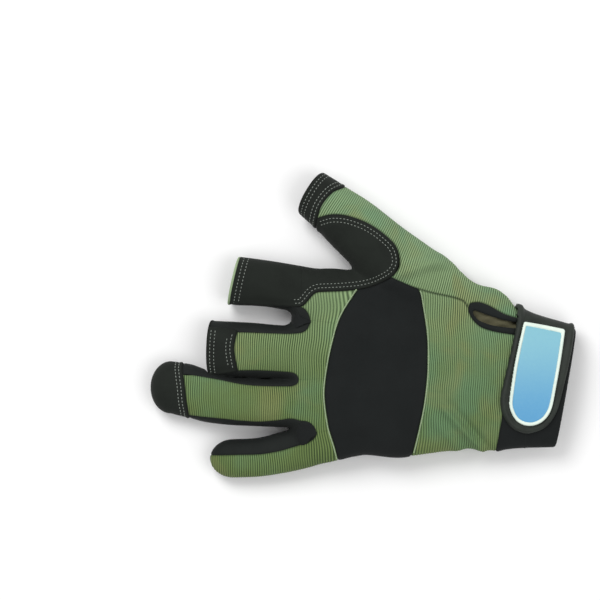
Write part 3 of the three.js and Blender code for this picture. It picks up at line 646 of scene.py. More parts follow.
# %% [markdown]
# ## From chart to panel
# A fine grid is laid over a chart, and what passes every test is kept. Small faces that a seam crosses are
# cut where the test is nought, so each edge is clean whatever its shape. The cloth is then rolled down into
# the seam over its last millimetre, and it gets its ribs or its pillowed top.

# %% Panels
GRID_CORNERS = [(0, 0), (1, 0), (1, 1), (0, 1)]
TABLE_GAP = 0.02  # what lies on the table stays this far above it
SEAMLESS = 99.0  # the distance from a seam on a panel that has none


def least(tests, p):
    """The least of several tests, which is positive where all of them hold."""
    return np.minimum.reduce([test(p) for test in tests])


def cut_grid(chart, rows, columns, steps, tests):
    """Row and column numbers of the kept points, and the faces between them. On a grid edge whose ends fall
    on both sides of a seam, the new point lies where the test, drawn as a straight line, is nought."""
    w_all, m_all = np.linspace(*rows, 24), np.linspace(*columns, 24)
    coarse = chart.at(w_all[:, None] + 0 * m_all, m_all + 0 * w_all[:, None])[0]
    length = np.linalg.norm(np.diff(coarse, axis=0), axis=-1).sum(0)
    width = np.linalg.norm(np.diff(coarse, axis=1), axis=-1).sum(1)
    w = np.linspace(*rows, max(int(np.percentile(length, 70) / steps[0]), 6))
    m = np.linspace(*columns, max(int(np.percentile(width, 85) / steps[1]), 6))
    w, m = np.meshgrid(w, m, indexing="ij")
    g = least(tests, chart.at(w, m)[0])
    kept = g > 0
    number = np.full(g.shape, -1)
    number[kept] = np.arange(kept.sum())
    found_w, found_m, count = [w[kept]], [m[kept]], kept.sum()
    crossings = []
    for axis in (0, 1):
        low, high = (slice(None, -1), slice(None)), (slice(1, None), slice(None))
        if axis:
            low, high = low[::-1], high[::-1]
        flips = kept[low] != kept[high]
        share = np.clip(g[low] / np.where(g[low] == g[high], 1, g[low] - g[high]), 0.06, 0.94)[flips]
        found_w.append(w[low][flips] * (1 - share) + w[high][flips] * share)
        found_m.append(m[low][flips] * (1 - share) + m[high][flips] * share)
        here = np.full(flips.shape, -1)
        here[flips] = count + np.arange(flips.sum())
        crossings.append(here)
        count += flips.sum()
    corners = [number[i: i - 1 or None, j: j - 1 or None] for i, j in GRID_CORNERS]
    sides = [crossings[0][:, :-1], crossings[1][1:], crossings[0][:, 1:], crossings[1][:-1]]
    table = np.stack([x for pair in zip(corners, sides) for x in pair], axis=-1).reshape(-1, 8)
    whole = (table[:, ::2] >= 0).all(1)
    part = (table[:, ::2] >= 0).any(1) & ~whole
    faces = table[whole][:, ::2].tolist() + [[v for v in row if v >= 0] for row in table[part].tolist()]
    return np.concatenate(found_w), np.concatenate(found_m), [face for face in faces if len(face) > 2]


def roll(distance, depth, radius):
    """How far the cloth turns down at a distance from its edge: a quarter circle of that radius and
    depth."""
    near = 1 - np.clip(distance / radius, 0, 1)
    return depth * (1 - np.sqrt(np.clip(1 - near**2, 0, 1)))


def panel(chart, seams, joints=(), rows=None, columns=None, steps=(0.8, 0.8), level=0.0, depth=0.7,
          radius=1.1, relief=None, across=None, table=lambda p: TABLE_GAP):
    """One panel's points, faces and pattern coordinates. The cloth lies level millimetres off the form,
    rolls down by depth at its seams, and relief adds height. Joints are edges that carry on in another
    panel, and table is the height that the cloth can't be pressed below. Without rows or columns it takes
    the chart's."""
    rows = rows or chart.span()
    columns = columns or (0, chart.columns if chart.closed else chart.columns - 1)
    grown = [lambda p, seam=seam: seam(p) + 0.12 for seam in seams]
    w, m, faces = cut_grid(chart, rows, columns, steps, grown + list(joints))
    points, out = chart.at(w, m)
    edge = least(seams, points) if seams else np.full(len(w), SEAMLESS)
    lift = level - roll(edge, depth, radius)
    if relief is not None:
        lift = lift + relief(points, edge)
    made = points + out * lift[:, None]
    made[:, 2] = np.maximum(made[:, 2], table(points))
    pattern = np.column_stack([across(points) if across else points[:, 0], points[:, 1]])
    return made, faces, pattern, out, np.clip(edge, 0, 9)


print("a seam sinks by", roll(np.array([0.0, 0.5]), 0.7, 1.1).round(2), "mm at its edge and half a mm inside")

# %% [markdown]
# ## Meshes
# Panels become one mesh in one call, with a UV map in metres of cloth so that patterns keep their real
# size. A Solidify modifier gives the cloth its thickness inwards, and its inner faces take the lining's
# material.

# %% Meshes
def mesh_object(name, points, faces, uv=None, materials=(), smooth=True, edge=None):
    """An object at the origin whose mesh holds points, given in millimetres. The attribute edge tells
    materials how far each point is from a seam."""
    mesh = bpy.data.meshes.new(name)
    mesh.from_pydata((points.reshape(-1, 3) * MM).tolist(), [], faces)
    if uv is not None:
        corner = np.empty(len(mesh.loops), dtype=np.int32)
        mesh.loops.foreach_get("vertex_index", corner)
        mesh.uv_layers.new(name="cloth").data.foreach_set("uv", (uv[corner] * MM).ravel())
    if edge is not None:
        mesh.attributes.new("edge", "FLOAT", "POINT").data.foreach_set("value", edge)
    for material in materials:
        mesh.materials.append(material)
    mesh.polygons.foreach_set("use_smooth", [smooth] * len(mesh.polygons))
    mesh.update()
    piece = bpy.data.objects.new(name, mesh)
    bpy.context.collection.objects.link(piece)
    return piece


def weld(piece, outwards=False, distance=2e-6):
    """Joins the points that lie on each other at a seam or a pole, and may then turn a closed mesh's faces
    out."""
    work = bmesh.new()
    work.from_mesh(piece.data)
    bmesh.ops.remove_doubles(work, verts=work.verts, dist=distance)
    bmesh.ops.dissolve_degenerate(work, edges=work.edges, dist=1e-7)
    if outwards:
        bmesh.ops.recalc_face_normals(work, faces=work.faces)
    work.to_mesh(piece.data)
    work.free()


def settle(piece, node=None):
    """Hands a finished piece to the frame: it rides on the glove, and may stand for a CAD node."""
    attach(piece, "root")
    if node:
        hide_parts(node)
    print(piece.name, len(piece.data.polygons), "faces")
    return piece


def sew(name, panels, materials, wall, node=None):
    """Joins panels into one piece of cloth with a wall. A panel whose faces look inwards is turned."""
    points, faces, patterns, edges, count = [], [], [], [], 0
    for made, cells, pattern, out, edge in panels:
        a, b, c = (made[np.array([cell[k] for cell in cells])] for k in (0, 1, 2))
        facing = (np.cross(b - a, c - a) * out[np.array([cell[0] for cell in cells])]).sum()
        cells = [[v + count for v in (cell if facing > 0 else cell[::-1])] for cell in cells]
        points.append(made)
        patterns.append(pattern)
        edges.append(edge)
        faces += cells
        count += len(made)
    points, patterns, edges = (np.concatenate(x) for x in (points, patterns, edges))
    piece = mesh_object(name, points, faces, patterns, materials, edge=edges)
    weld(piece)
    shell = piece.modifiers.new("wall", "SOLIDIFY")
    shell.thickness, shell.offset = wall * MM, -1
    shell.material_offset = 1 if len(materials) > 1 else 0
    return settle(piece, node)


print("CAD nodes to stand for", len(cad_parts))

# %% [markdown]
# ## Shader maths in Python
# A material is easier to read as formulas than as a list of nodes. One small class wraps a socket: adding,
# multiplying and so on add the Math nodes, and node() makes any other kind.

# %% Shader maths
class Field:
    """A value or colour that varies over a surface, made by nodes."""

    def __init__(self, finish, socket):
        self.finish, self.socket = finish, socket

    def math(self, operation, *others):
        return self.finish.node("ShaderNodeMath", {"operation": operation}, dict(enumerate([self, *others])))

    def __add__(self, other):
        return self.math("ADD", other)

    def __sub__(self, other):
        return self.math("SUBTRACT", other)

    def __mul__(self, other):
        return self.math("MULTIPLY", other)

    def __rsub__(self, other):
        return self * -1.0 + other

    __radd__, __rmul__ = __add__, __mul__

    def sine(self):
        return self.math("SINE")

    def clamp(self):
        return self.finish.node("ShaderNodeClamp", {}, {0: self})

    def step(self, low, high):
        """A smooth step from 0 at low to 1 at high."""
        settings = {"interpolation_type": "SMOOTHSTEP"}
        return self.finish.node("ShaderNodeMapRange", settings, {0: self, 1: low, 2: high})


class Finish:
    """A material under construction, with the nodes that most finishes start from."""

    def __init__(self, name, roughness=0.8, **fixed):
        self.material = bpy.data.materials.new(name)
        self.material.use_nodes = True
        self.tree = self.material.node_tree
        self.shader = self.tree.nodes["Principled BSDF"]
        self.shader.inputs["Roughness"].default_value = roughness
        for socket, value in fixed.items():
            self.shader.inputs[socket.replace("_", " ")].default_value = value

    def node(self, kind, settings, inputs, output=0):
        """Any node: its settings come first, then the values or links of its sockets."""
        made = self.tree.nodes.new(kind)
        for key, value in settings.items():
            setattr(made, key, value)
        for key, value in inputs.items():
            if isinstance(value, Field):
                self.tree.links.new(value.socket, made.inputs[key])
            else:
                made.inputs[key].default_value = value
        return Field(self, made.outputs[output])

    def where(self):
        """Object coordinates, in metres."""
        return self.node("ShaderNodeTexCoord", {}, {}, "Object")

    def split(self, vector):
        """The three parts of a vector."""
        parts = self.node("ShaderNodeSeparateXYZ", {}, {0: vector})
        return [Field(self, socket) for socket in parts.socket.node.outputs]

    def edge(self):
        """Millimetres from the nearest seam, as the mesh's attribute has it."""
        return self.node("ShaderNodeAttribute", {"attribute_name": "edge"}, {}, "Fac")

    def noise(self, scale, detail=3.0, roughness=0.55, distortion=0.0):
        """Cloudy noise with a value from 0 to 1. Scale counts its patches in a metre."""
        inputs = {"Vector": self.where(), "Scale": scale, "Detail": detail, "Roughness": roughness}
        return self.node("ShaderNodeTexNoise", {}, {**inputs, "Distortion": distortion}, "Fac")

    def mix(self, share, a, b):
        """Colour a where share is 0 and b where it is 1."""
        return self.node("ShaderNodeMix", {"data_type": "RGBA"}, {0: share, 6: a, 7: b}, 2)

    def set(self, **fields):
        """Links fields to the shader's own sockets."""
        for socket, field in fields.items():
            self.tree.links.new(field.socket, self.shader.inputs[socket.replace("_", " ")])

    def bump(self, height, strength=0.5, distance=0.0002):
        """Fine relief by shading alone, distance metres deep."""
        inputs = {"Strength": strength, "Distance": distance, "Height": height}
        self.set(Normal=self.node("ShaderNodeBump", {}, inputs, "Normal"))


def rgb(red, green, blue):
    """A colour as read from a screen, 0 to 255, to the linear light that shaders work in."""
    c = np.array([red, green, blue]) / 255
    return (*(float(x) for x in np.where(c <= 0.04045, c / 12.92, ((c + 0.055) / 1.055) ** 2.4)), 1.0)


print("mid grey on a screen is", round(rgb(128, 128, 128)[0], 3), "in linear light")

# %% [markdown]
# ## Finishes
# The knit's ribs are real relief, and the same ribs paint shade into the valleys' colour. Knit and leather
# also have painted shade next to their seams. The leather is a suede-like synthetic: matt, mottled and
# finely grained. The stretch cloths are close-woven and slightly smoother.

# %% Finishes
RIB_PITCH, RIB_DEPTH = 1.24, 0.2  # millimetres
COURSE = 0.00055  # metres between the stitches along a rib
# blue and yellow are the knit's own tones; the valley pair is painted shade for the rib valleys
GREENS = dict(blue=rgb(98, 138, 108), yellow=rgb(146, 148, 96), valley=(rgb(28, 44, 24), rgb(40, 60, 36)))


def knit(name, little, thumb):
    """Green ribbed knit. The UV map's first coordinate counts across the ribs. Its colour has painted light,
    lighter from the little finger's side to the thumb's, a slow drift between yellow and blue greens as in
    worn cotton, painted shade in the rib valleys and painted shade near the seams."""
    f = Finish(name, roughness=0.95, Sheen_Weight=0.05, Specular_IOR_Level=0.15)
    across, along, _ = f.split(f.node("ShaderNodeUVMap", {"uv_map": "cloth"}, {}, "UV"))
    rib = ((across + f.noise(90.0, 2.0) * 0.0003) * (2 * np.pi / (RIB_PITCH * MM))).sine() * 0.5 + 0.5
    fine = ((along + across * 0.3) * (2 * np.pi / COURSE)).sine() * 0.5 + 0.5
    drift, fuzz = f.noise(24.0, 3.0, 0.5), f.noise(1900.0, 2.0, 0.7)
    # Painted light: the knit is lighter towards the thumb's side than towards the little finger's.
    bright = f.mix(f.split(f.where())[1].step(-0.055, 0.055), little, thumb)
    bright = f.mix(drift.step(0.42, 0.7) * 0.6, bright, GREENS["blue"])
    bright = f.mix(f.noise(31.0, 3.0, 0.5, distortion=0.8).step(0.48, 0.74) * 0.5, bright, GREENS["yellow"])
    depth = f.noise(40.0, 2.0).step(0.3, 0.62) * 0.5 + 0.5
    # The rib term paints shade into the valleys; fuzz, drift and fine are the knit's own tone.
    shade = ((rib - 0.5) * depth + fuzz * 0.3 + drift * 0.6 + fine * 0.06 + 0.14).clamp()
    colour = f.mix(shade, f.mix(0.5, *GREENS["valley"]), bright)
    # Painted shade: the colour darkens to a deep green within about a millimetre of a seam.
    f.set(Base_Color=f.mix(f.edge().step(0.0, 1.3) * 0.6 + 0.4, rgb(30, 42, 26), colour))
    f.bump(rib * 0.5 + fuzz * 0.35 + fine * 0.15, 0.55, 0.0003)
    return f.material


def suede(name, base, light, grain=1400.0):
    """Matt synthetic leather with a fine nap, worn a little paler in soft patches, with painted shade near
    its seams.
    """
    f = Finish(name, roughness=0.88, Sheen_Weight=0.03, Specular_IOR_Level=0.22)
    nap = f.noise(grain, 3.0, 0.7)
    patches = f.noise(60.0, 4.0, 0.65, distortion=0.6)
    shade = (nap * 0.55 + patches * 0.8 - 0.35).clamp()
    # Painted shade: the colour darkens to near black within about a millimetre of a seam.
    f.set(Base_Color=f.mix(f.edge().step(0.0, 1.2) * 0.7 + 0.3, rgb(9, 12, 9), f.mix(shade, base, light)))
    f.set(Roughness=nap * 0.2 + 0.75)
    f.bump(nap * 0.7 + f.noise(420.0, 3.0) * 0.3, 0.5, 0.00018)
    return f.material


def woven(name, base, light, pitch, roughness):
    """Close stretch cloth: two crossing sets of fine waves."""
    f = Finish(name, roughness=roughness, Sheen_Weight=0.03, Specular_IOR_Level=0.15)
    x, y, z = f.split(f.where())
    turn = 2 * np.pi / (pitch * MM)
    weave = ((x + y * 0.5 + z * 0.6) * turn).sine() * ((y - x * 0.5 + z * 0.6) * turn).sine() * 0.5 + 0.5
    patches = f.noise(45.0, 4.0, 0.6)
    fuzz = f.noise(1500.0, 2.0)
    f.set(Base_Color=f.mix((weave * 0.25 + patches * 0.7 + fuzz * 0.3 - 0.3).clamp(), base, light))
    f.bump(weave * 0.6 + fuzz * 0.4, 0.4, 0.00015)
    return f.material


def rubber(name, base, light, roughness=0.45):
    """Smooth moulded rubber with faint handling marks."""
    f = Finish(name, roughness=roughness, Specular_IOR_Level=0.35)
    marks = f.noise(120.0, 5.0, 0.65)
    f.set(Base_Color=f.mix(marks.step(0.25, 0.8), base, light))
    f.set(Roughness=marks * 0.25 + (roughness - 0.1))
    f.bump(f.noise(900.0, 3.0), 0.15, 0.0001)
    return f.material


# The knit's second green, for the thumb's side, is lighter as painted light.
GREEN = knit("knit_green", rgb(114, 134, 80), rgb(148, 174, 130))
LEATHER = suede("leather_black", rgb(16, 20, 16), rgb(36, 41, 36))
PALM = suede("leather_palm", rgb(20, 23, 21), rgb(40, 44, 41), grain=1200.0)
NEOPRENE = woven("neoprene_black", rgb(17, 20, 20), rgb(32, 35, 35), pitch=0.8, roughness=0.82)
GUSSET = woven("gusset_black", rgb(17, 20, 19), rgb(35, 39, 37), pitch=0.6, roughness=0.7)
LINING = woven("lining_beige", rgb(72, 72, 55), rgb(118, 112, 86), pitch=0.9, roughness=0.9)
BINDING = woven("binding_black", rgb(20, 23, 23), rgb(36, 40, 39), pitch=0.9, roughness=0.85)
RIM_GREEN = woven("rim_green", rgb(126, 146, 112), rgb(168, 186, 150), pitch=0.6, roughness=0.9)
INNER = woven("lining_black", rgb(20, 22, 22), rgb(38, 41, 41), pitch=0.9, roughness=0.9)
STRAP_RUBBER = rubber("strap_rubber", rgb(22, 27, 22), rgb(40, 47, 40), roughness=0.6)
THREAD = woven("thread_white", rgb(122, 128, 122), rgb(168, 174, 166), pitch=0.35, roughness=0.6)
THREAD_GREEN = woven("thread_green", rgb(140, 160, 124), rgb(176, 194, 158), pitch=0.35, roughness=0.7)
BADGE_WHITE = rubber("badge_white", rgb(214, 228, 218), rgb(232, 244, 232), roughness=0.4)

# %% [markdown]
# ## The badge's colour
# The badge's blue fades from a pale one at the thumb's end to a deeper one. How far across the hand a place
# lies sets the share of each, and a fine speckle stands for the pores of moulded rubber.

# %% Badge colour
badge = Finish("badge_blue", roughness=0.38)
towards_thumb = badge.split(badge.where())[1].step(-0.058, 0.0)
speckle = badge.noise(700.0, 4.0)
share = (towards_thumb * 0.9 + speckle * 0.2 - 0.05).clamp()
badge.set(Base_Color=badge.mix(share, rgb(76, 150, 198), rgb(132, 188, 202)))
badge.bump(speckle, 0.1, 0.0001)
BADGE_BLUE = badge.material
print("finishes", len(bpy.data.materials))

# %% [markdown]
# ## The run of the ribs
# The ribs run across the hand, and the foam pad stretches the cloth so that they bend to lie along its
# edge. On the thumb they fan out a little. A rib coordinate says how far a place is across the ribs. The
# relief and the colour both read it, so the shade painted into the colour lies in the real valleys.

# %% Ribs
PAD_FRONT, PAD_BACK, PAD_MIDDLE = 22.0, -35.8, -7.0  # where the pad's edges and middle are along the hand
PAD_PULL, PULL_REACH = 0.62, 15.0
FAN_CENTRE, FAN_RADIUS = np.array([151.0, 350.0]), 335.0


def hand_ribs(points):
    """Millimetres across the ribs: distance towards the fingertips, drawn near the pad to the distance from
    its edge, with slow waves."""
    x, y = -points[:, 0], points[:, 1]
    gap = np.maximum(-KNUCKLE(points), 0)
    edge = np.where(x > PAD_MIDDLE, PAD_FRONT + gap, PAD_BACK - gap)
    near = PAD_PULL * np.exp(-gap / PULL_REACH)
    return x * (1 - near) + edge * near + 0.35 * np.sin(y / 7 + x / 31) + 0.2 * np.sin(y / 3.1 - x / 13)


def thumb_ribs(points):
    """Millimetres across ribs that fan out from a far centre: the angle about it, times its distance."""
    rel = FAN_CENTRE - points[:, :2]
    return FAN_RADIUS * np.arctan2(rel[:, 0], rel[:, 1]) + 0.25 * np.sin(points[:, 0] / 9 + points[:, 1] / 5)


def ribbed(across):
    """Relief of a knit panel: a wave with one crest to each rib, flattened where the seam pulls."""
    def relief(points, edge):
        wave = np.cos(2 * np.pi * across(points) / RIB_PITCH)
        return RIB_DEPTH * (wave * 0.5 - 0.5) * np.clip(edge / 1.2, 0.15, 1)
    return relief


KNIT = dict(steps=(0.25, 0.75), across=hand_ribs, relief=ribbed(hand_ribs))
FINGER_KNIT = dict(KNIT, steps=(0.25, 1.03))  # as fine across the ribs, and coarser along them
THUMB_KNIT = dict(steps=(0.25, 0.75), across=thumb_ribs, relief=ribbed(thumb_ribs))
print("ribs across the pad's front", round((PAD_FRONT - PAD_BACK) / RIB_PITCH))

# %% [markdown]
# ## Knit panels
# The back of the hand, the backs of the fingers and the thumb are three pieces of the same green knit. The
# finger piece is charted finger by finger, and its lanes meet on lines where the cloth simply carries on.

# %% Knit panels
sew("hand_back_knit", [panel(
    hand_chart, [back_of_hand, outside(THUMB_PANEL), outside(VENT), outside(KNUCKLE), outside(CUFF)],
    rows=hand_chart.span(0.115, 0.43), columns=(-6, 76), **KNIT)], [GREEN, LINING], 1.2, "hand_back")

middle_lane = panel(
    middle_chart,
    [outside(GUSSET_INDEX), outside(GUSSET_MIDDLE), outside(WEB), outside(KNUCKLE), outside(MIDDLE_BAND)],
    [MIDDLE_LANE], rows=middle_chart.span(0.54, 0.83), columns=(-4, 54), **FINGER_KNIT)
index_lane = panel(
    index_chart, [outside(GUSSET_INDEX), outside(WEB), outside(KNUCKLE)], [INDEX_LANE, above(8)],
    rows=index_chart.span(0.5, 0.66), columns=(4, 60), **FINGER_KNIT)
ring_lane = panel(
    ring_finger_chart, [outside(GUSSET_MIDDLE), outside(GUSSET_RING), outside(KNUCKLE), outside(CAP)],
    [outside(MIDDLE_LANE), outside(LITTLE_LANE), above(8)],
    rows=ring_finger_chart.span(0.54, 0.945), columns=(-2, 50), **FINGER_KNIT)
little_lane = panel(
    little_chart, [outside(GUSSET_RING), outside(KNUCKLE), back_of_hand], [LITTLE_LANE],
    rows=little_chart.span(0.51), columns=(-4, 60), **FINGER_KNIT)
sew("finger_backs_knit", [middle_lane, index_lane, ring_lane, little_lane], [GREEN, INNER], 1.2,
    "finger_backs")

sew("thumb_back_knit", [panel(
    thumb_chart, [back_of_hand, THUMB_PANEL, outside(WEB), outside(VENT), outside(CUFF), outside(THUMB_BAND)],
    [thumb_end], rows=(0, 72), columns=(-24, 60), **THUMB_KNIT)], [GREEN, LINING], 1.2, "thumb_back")

# %% [markdown]
# ## Knuckle pad
# The pad is a thin sheet of foam under stretch cloth, sewn down all round. It has no loose volume for a
# cloth simulation to blow up, so a formula gives its form: it swells from its edge inwards and then levels
# out.

# %% Knuckle pad
def pillow(height, reach):
    """Relief that swells from the edge inwards and levels out, and dies away down the side of the hand."""
    def relief(points, edge):
        swell = height * (1 - np.exp(-np.maximum(edge, 0) / reach))
        return swell * np.clip((points[:, 2] - 8) / 7, 0, 1)
    return relief


knuckle_pad = sew("knuckle_pad_cloth", [panel(
    hand_chart, [back_of_hand, outside(WEB), outside(THUMB_PANEL), KNUCKLE],
    rows=hand_chart.span(0.335, 0.61), columns=(-10, 78), steps=(0.7, 0.7), depth=0.9,
    relief=pillow(0.8, 2.5))], [NEOPRENE, INNER], 1.6, "knuckle_pad")

# %% [markdown]
# ## Leather of the thumb, web and fingertips
# Where a tool rubs most, the glove has leather: one long piece from the thumb round the web and along the
# index finger, bands round two of the cut ends, and a cap. All are turned under and stitched twice, so
# their edges stand up a little as a welt and dip under the stitches. The long piece needs two charts, which
# meet on a line.

# %% Leather of the thumb, web and fingertips
def welt(points, edge):
    """Relief of a turned and stitched leather edge: a ridge along the seam, and a dip under the
    stitches."""
    return 0.25 * np.exp(-(((edge - 0.9) / 0.7) ** 2)) - 0.16 * np.exp(-(((edge - 2.9) / 1.3) ** 2))


WELTED = dict(level=0.3, relief=welt)
sew("web_and_index_suede", [
    panel(web_chart, [back_of_hand, WEB, outside(THUMB_BAND)], [lambda p: -index_ahead(p)], steps=(0.7, 0.6),
          **WELTED),
    panel(index_chart, [back_of_hand, WEB], [index_ahead, index_end], rows=index_chart.span(0.6),
          columns=(-20, 62), steps=(0.7, 0.5), **WELTED)],
    [LEATHER, INNER], 1.4, "web_and_index_leather")
sew("thumb_end_band_suede", [panel(
    thumb_chart, [THUMB_BAND, back_of_hand], [thumb_end], rows=(52, 75), columns=(-24, 72), steps=(0.6, 0.6),
    **WELTED)], [LEATHER, INNER], 1.5, "thumb_end_band")
sew("middle_end_band_suede", [panel(
    middle_chart, [MIDDLE_BAND], [middle_end], rows=middle_chart.span(0.77), columns=(0, 48),
    steps=(0.6, 0.6), **WELTED)], [LEATHER, INNER], 1.5, "middle_end_band")
sew("ring_tip_cap_suede", [panel(
    ring_finger_chart, [CAP], rows=ring_finger_chart.span(0.90), steps=(0.6, 0.7), **WELTED)],
    [LEATHER, INNER], 1.4, "ring_tip_cap")

# %% [markdown]
# ## Gussets
# A gusset is a strip that goes down one finger's side, round the crotch and up the next finger's side. Its
# chart follows the same way. The middle and ring fingers lie against each other, so there the gusset is a
# valley seen from above, and the ring finger's side past the middle finger's end is charted from the ring
# finger alone.

# %% Gussets
MIDDLE_TIP = place([0.853, 0.5])[0]
GUSSET_CUT = dict(level=-0.1, depth=0.5, steps=(0.7, 0.6))


def by_middle(p):
    """Positive beside the middle finger, as far as its cut end."""
    return p[..., 0] - MIDDLE_TIP


sew("gusset_index_middle_cloth", [panel(
    index_gap_chart, [GUSSET_INDEX, back_of_hand, outside(MIDDLE_BAND)], [finger_ends], **GUSSET_CUT)],
    [GUSSET, INNER], 1.0, "gusset_index_middle")
sew("gusset_middle_ring_cloth", [
    panel(valley_chart, [GUSSET_MIDDLE], [middle_end, by_middle], **GUSSET_CUT),
    panel(ring_side_chart, [GUSSET_MIDDLE, back_of_hand, outside(CAP)], [lambda p: -by_middle(p)],
          columns=(-20, 40), **GUSSET_CUT)],
    [GUSSET, INNER], 1.0, "gusset_middle_ring")
sew("gusset_ring_little_cloth", [panel(
    ring_gap_chart, [GUSSET_RING, back_of_hand, outside(CAP)], **GUSSET_CUT)],
    [GUSSET, INNER], 1.0, "gusset_ring_little")

# %% [markdown]
# ## The palm
# The palm side is one piece of the same synthetic leather, with the undersides of the fingers and the
# thumb. Two patches are stitched onto it, where a tool's handle rubs. They are what the glove rests on, so
# near them the palm is kept off the table by a little more than a patch's own thickness.

# %% Palm
PATCH_ROOM, PATCH_FADE = 1.4, 5.0


def palm_table(p):
    """How low the palm may lie: on the table, but higher where a patch lies under it."""
    return TABLE_GAP + PATCH_ROOM * np.clip(1 + np.maximum(THENAR(p), HEEL(p)) / PATCH_FADE, 0, 1)


def palm_ends(p):
    """The test of the cut fingers' ends. The ring and little fingers are closed, so it always holds
    there."""
    cut = whichever(0.76, whichever(1.15, thumb_end, index_end), middle_end)(p)
    return np.where(p[..., 1] < place([0, 0.456])[1], 9.0, cut)


def stitch_dip(points, edge):
    """Relief of a patch: a shallow dip under its stitches."""
    return -0.15 * np.exp(-(((edge - 2.6) / 1.2) ** 2))


sew("palm_leather_suede", [panel(
    palm_chart, [below(PALM_SEAM), outside(CAP), outside(CUFF)], [palm_ends], level=0.2, steps=(0.9, 0.9),
    depth=0.5, table=palm_table)], [PALM, LINING], 1.3, "palm_leather")
for name, seam in (("thenar_patch", THENAR), ("heel_patch", HEEL)):
    sew(name + "_suede", [panel(
        palm_chart, [seam, below(PALM_SEAM - 0.5)], level=1.35, depth=0.9, table=lambda p: 0.3,
        relief=stitch_dip)], [PALM, INNER], 1.1, name)

# %% [markdown]
# ## Cuff and slit
# The cuff is foam-backed stretch cloth, all the way round. A teardrop slit above the thumb lets the hand
# in, with a folded binding round it. The slack beige lining shows inside, so it gets a piece of its own, a
# little lower.

# %% Cuff and slit
def wrinkles(points, edge):
    """Relief of slack lining: slanting waves of two lengths."""
    slant = points[:, 0] * 0.35 + points[:, 1]
    return 0.8 * np.sin(slant / 1.5) + 0.35 * np.sin(points[:, 0] / 2.3 - points[:, 1] / 1.1)


VENT_LINING = Seam([
    [0.262, 0.80], [0.25, 0.84], [0.22, 0.84], [0.1, 0.75], [0.09, 0.65], [0.15, 0.64], [0.22, 0.68]])
slit = dict(rows=hand_chart.span(0.09, 0.27), columns=(-4, 60))
sew("cuff_cloth", [panel(
    hand_chart, [CUFF, outside(CUFF_END)], rows=hand_chart.span(None, 0.215), level=0.7, depth=1.0,
    relief=pillow(0.25, 2.0))], [NEOPRENE, INNER], 1.6, "cuff")
sew("vent_binding_cloth", [panel(
    hand_chart, [VENT, outside(VENT_HOLE), outside(CUFF)], level=0.75, steps=(0.4, 0.4), depth=1.1,
    radius=1.5, **slit)], [BINDING, INNER], 1.2, "vent_binding")
sew("wrist_lining_cloth", [panel(
    hand_chart, [VENT_LINING], level=-3.4, steps=(0.5, 0.5), relief=wrinkles, **slit)], [LINING], 0.6)

# %% [markdown]
# ## Strap and badge
# The strap is stiffer than cloth: a moulded tab over the cuff, with a rounded bead just inside its edge.
# The badge sits in the flat field within. It is a ring of pale rubber round a lower blue face, which stays
# bare here.

# %% Strap and badge
BORDER_WIDTH, FACE_EDGE = 1.65, 1.55  # the face runs a little under its border


def moulded_rim(points, edge):
    """Relief of the strap: a rounded bead just inside its edge, and a flat field within."""
    return 0.55 * np.exp(-(((edge - 1.7) / 1.0) ** 2)) - 0.25 * np.clip((edge - 2.6) / 1.2, 0, 1)


wrist = hand_chart.span(None, 0.2)
sew("strap_rubber_band", [panel(
    hand_chart, [STRAP, above(4.5)], rows=wrist, columns=(-16, 60), level=3.0, steps=(0.5, 0.6), depth=1.3,
    radius=1.5, relief=moulded_rim)], [STRAP_RUBBER, INNER], 1.9, "strap")
sew("badge_border_rubber", [panel(
    hand_chart, [BADGE, lambda p: BORDER_WIDTH - BADGE(p)], rows=wrist, columns=(-4, 60), level=4.9,
    steps=(0.35, 0.35), depth=0.8, radius=0.9)], [BADGE_WHITE], 1.7, "badge_border")
sew("badge_face_rubber", [panel(
    hand_chart, [lambda p: BADGE(p) - FACE_EDGE], rows=wrist, columns=(-4, 60), level=4.2, steps=(0.6, 0.6),
    depth=0.3, radius=0.6)], [BADGE_BLUE], 1.0, "badge_face")

# %% [markdown]
# ## Stitch beads
# Each stitch is a short bead of thread that dips into the leather at both ends. One bead's shape is worked
# out once, from rings along it, and all the beads of a seam are made from it in one array.

# %% Stitch beads
BEAD_PLACES = np.array([-1.0, -0.82, -0.4, 0.4, 0.82, 1.0])
BEAD_WIDTHS = np.array([0.0, 0.7, 1.0, 1.0, 0.7, 0.0])
BEAD_SIDES = 6
STITCH = dict(pitch=2.05, length=1.35, width=0.42)
OVERLOCK = dict(pitch=0.8, length=0.95, width=0.85)


def even_steps(points, pitch):
    """Places at an even pitch along a line, how far along it each is, and the distance run at its
    points."""
    run = run_along(points)
    at = np.arange(pitch / 2, run[-1], pitch)
    return read_line(at, run, points), at, run


def tube_faces(rings, sides, closed=False):
    """The four-cornered faces between rings of points. A closed row of rings runs on into its first."""
    i, k = np.meshgrid(np.arange(rings if closed else rings - 1), np.arange(sides), indexing="ij")
    here, there, beside = i * sides, (i + 1) % rings * sides, (k + 1) % sides
    return np.stack([here + k, here + beside, there + beside, there + k], axis=-1).reshape(-1, 4)


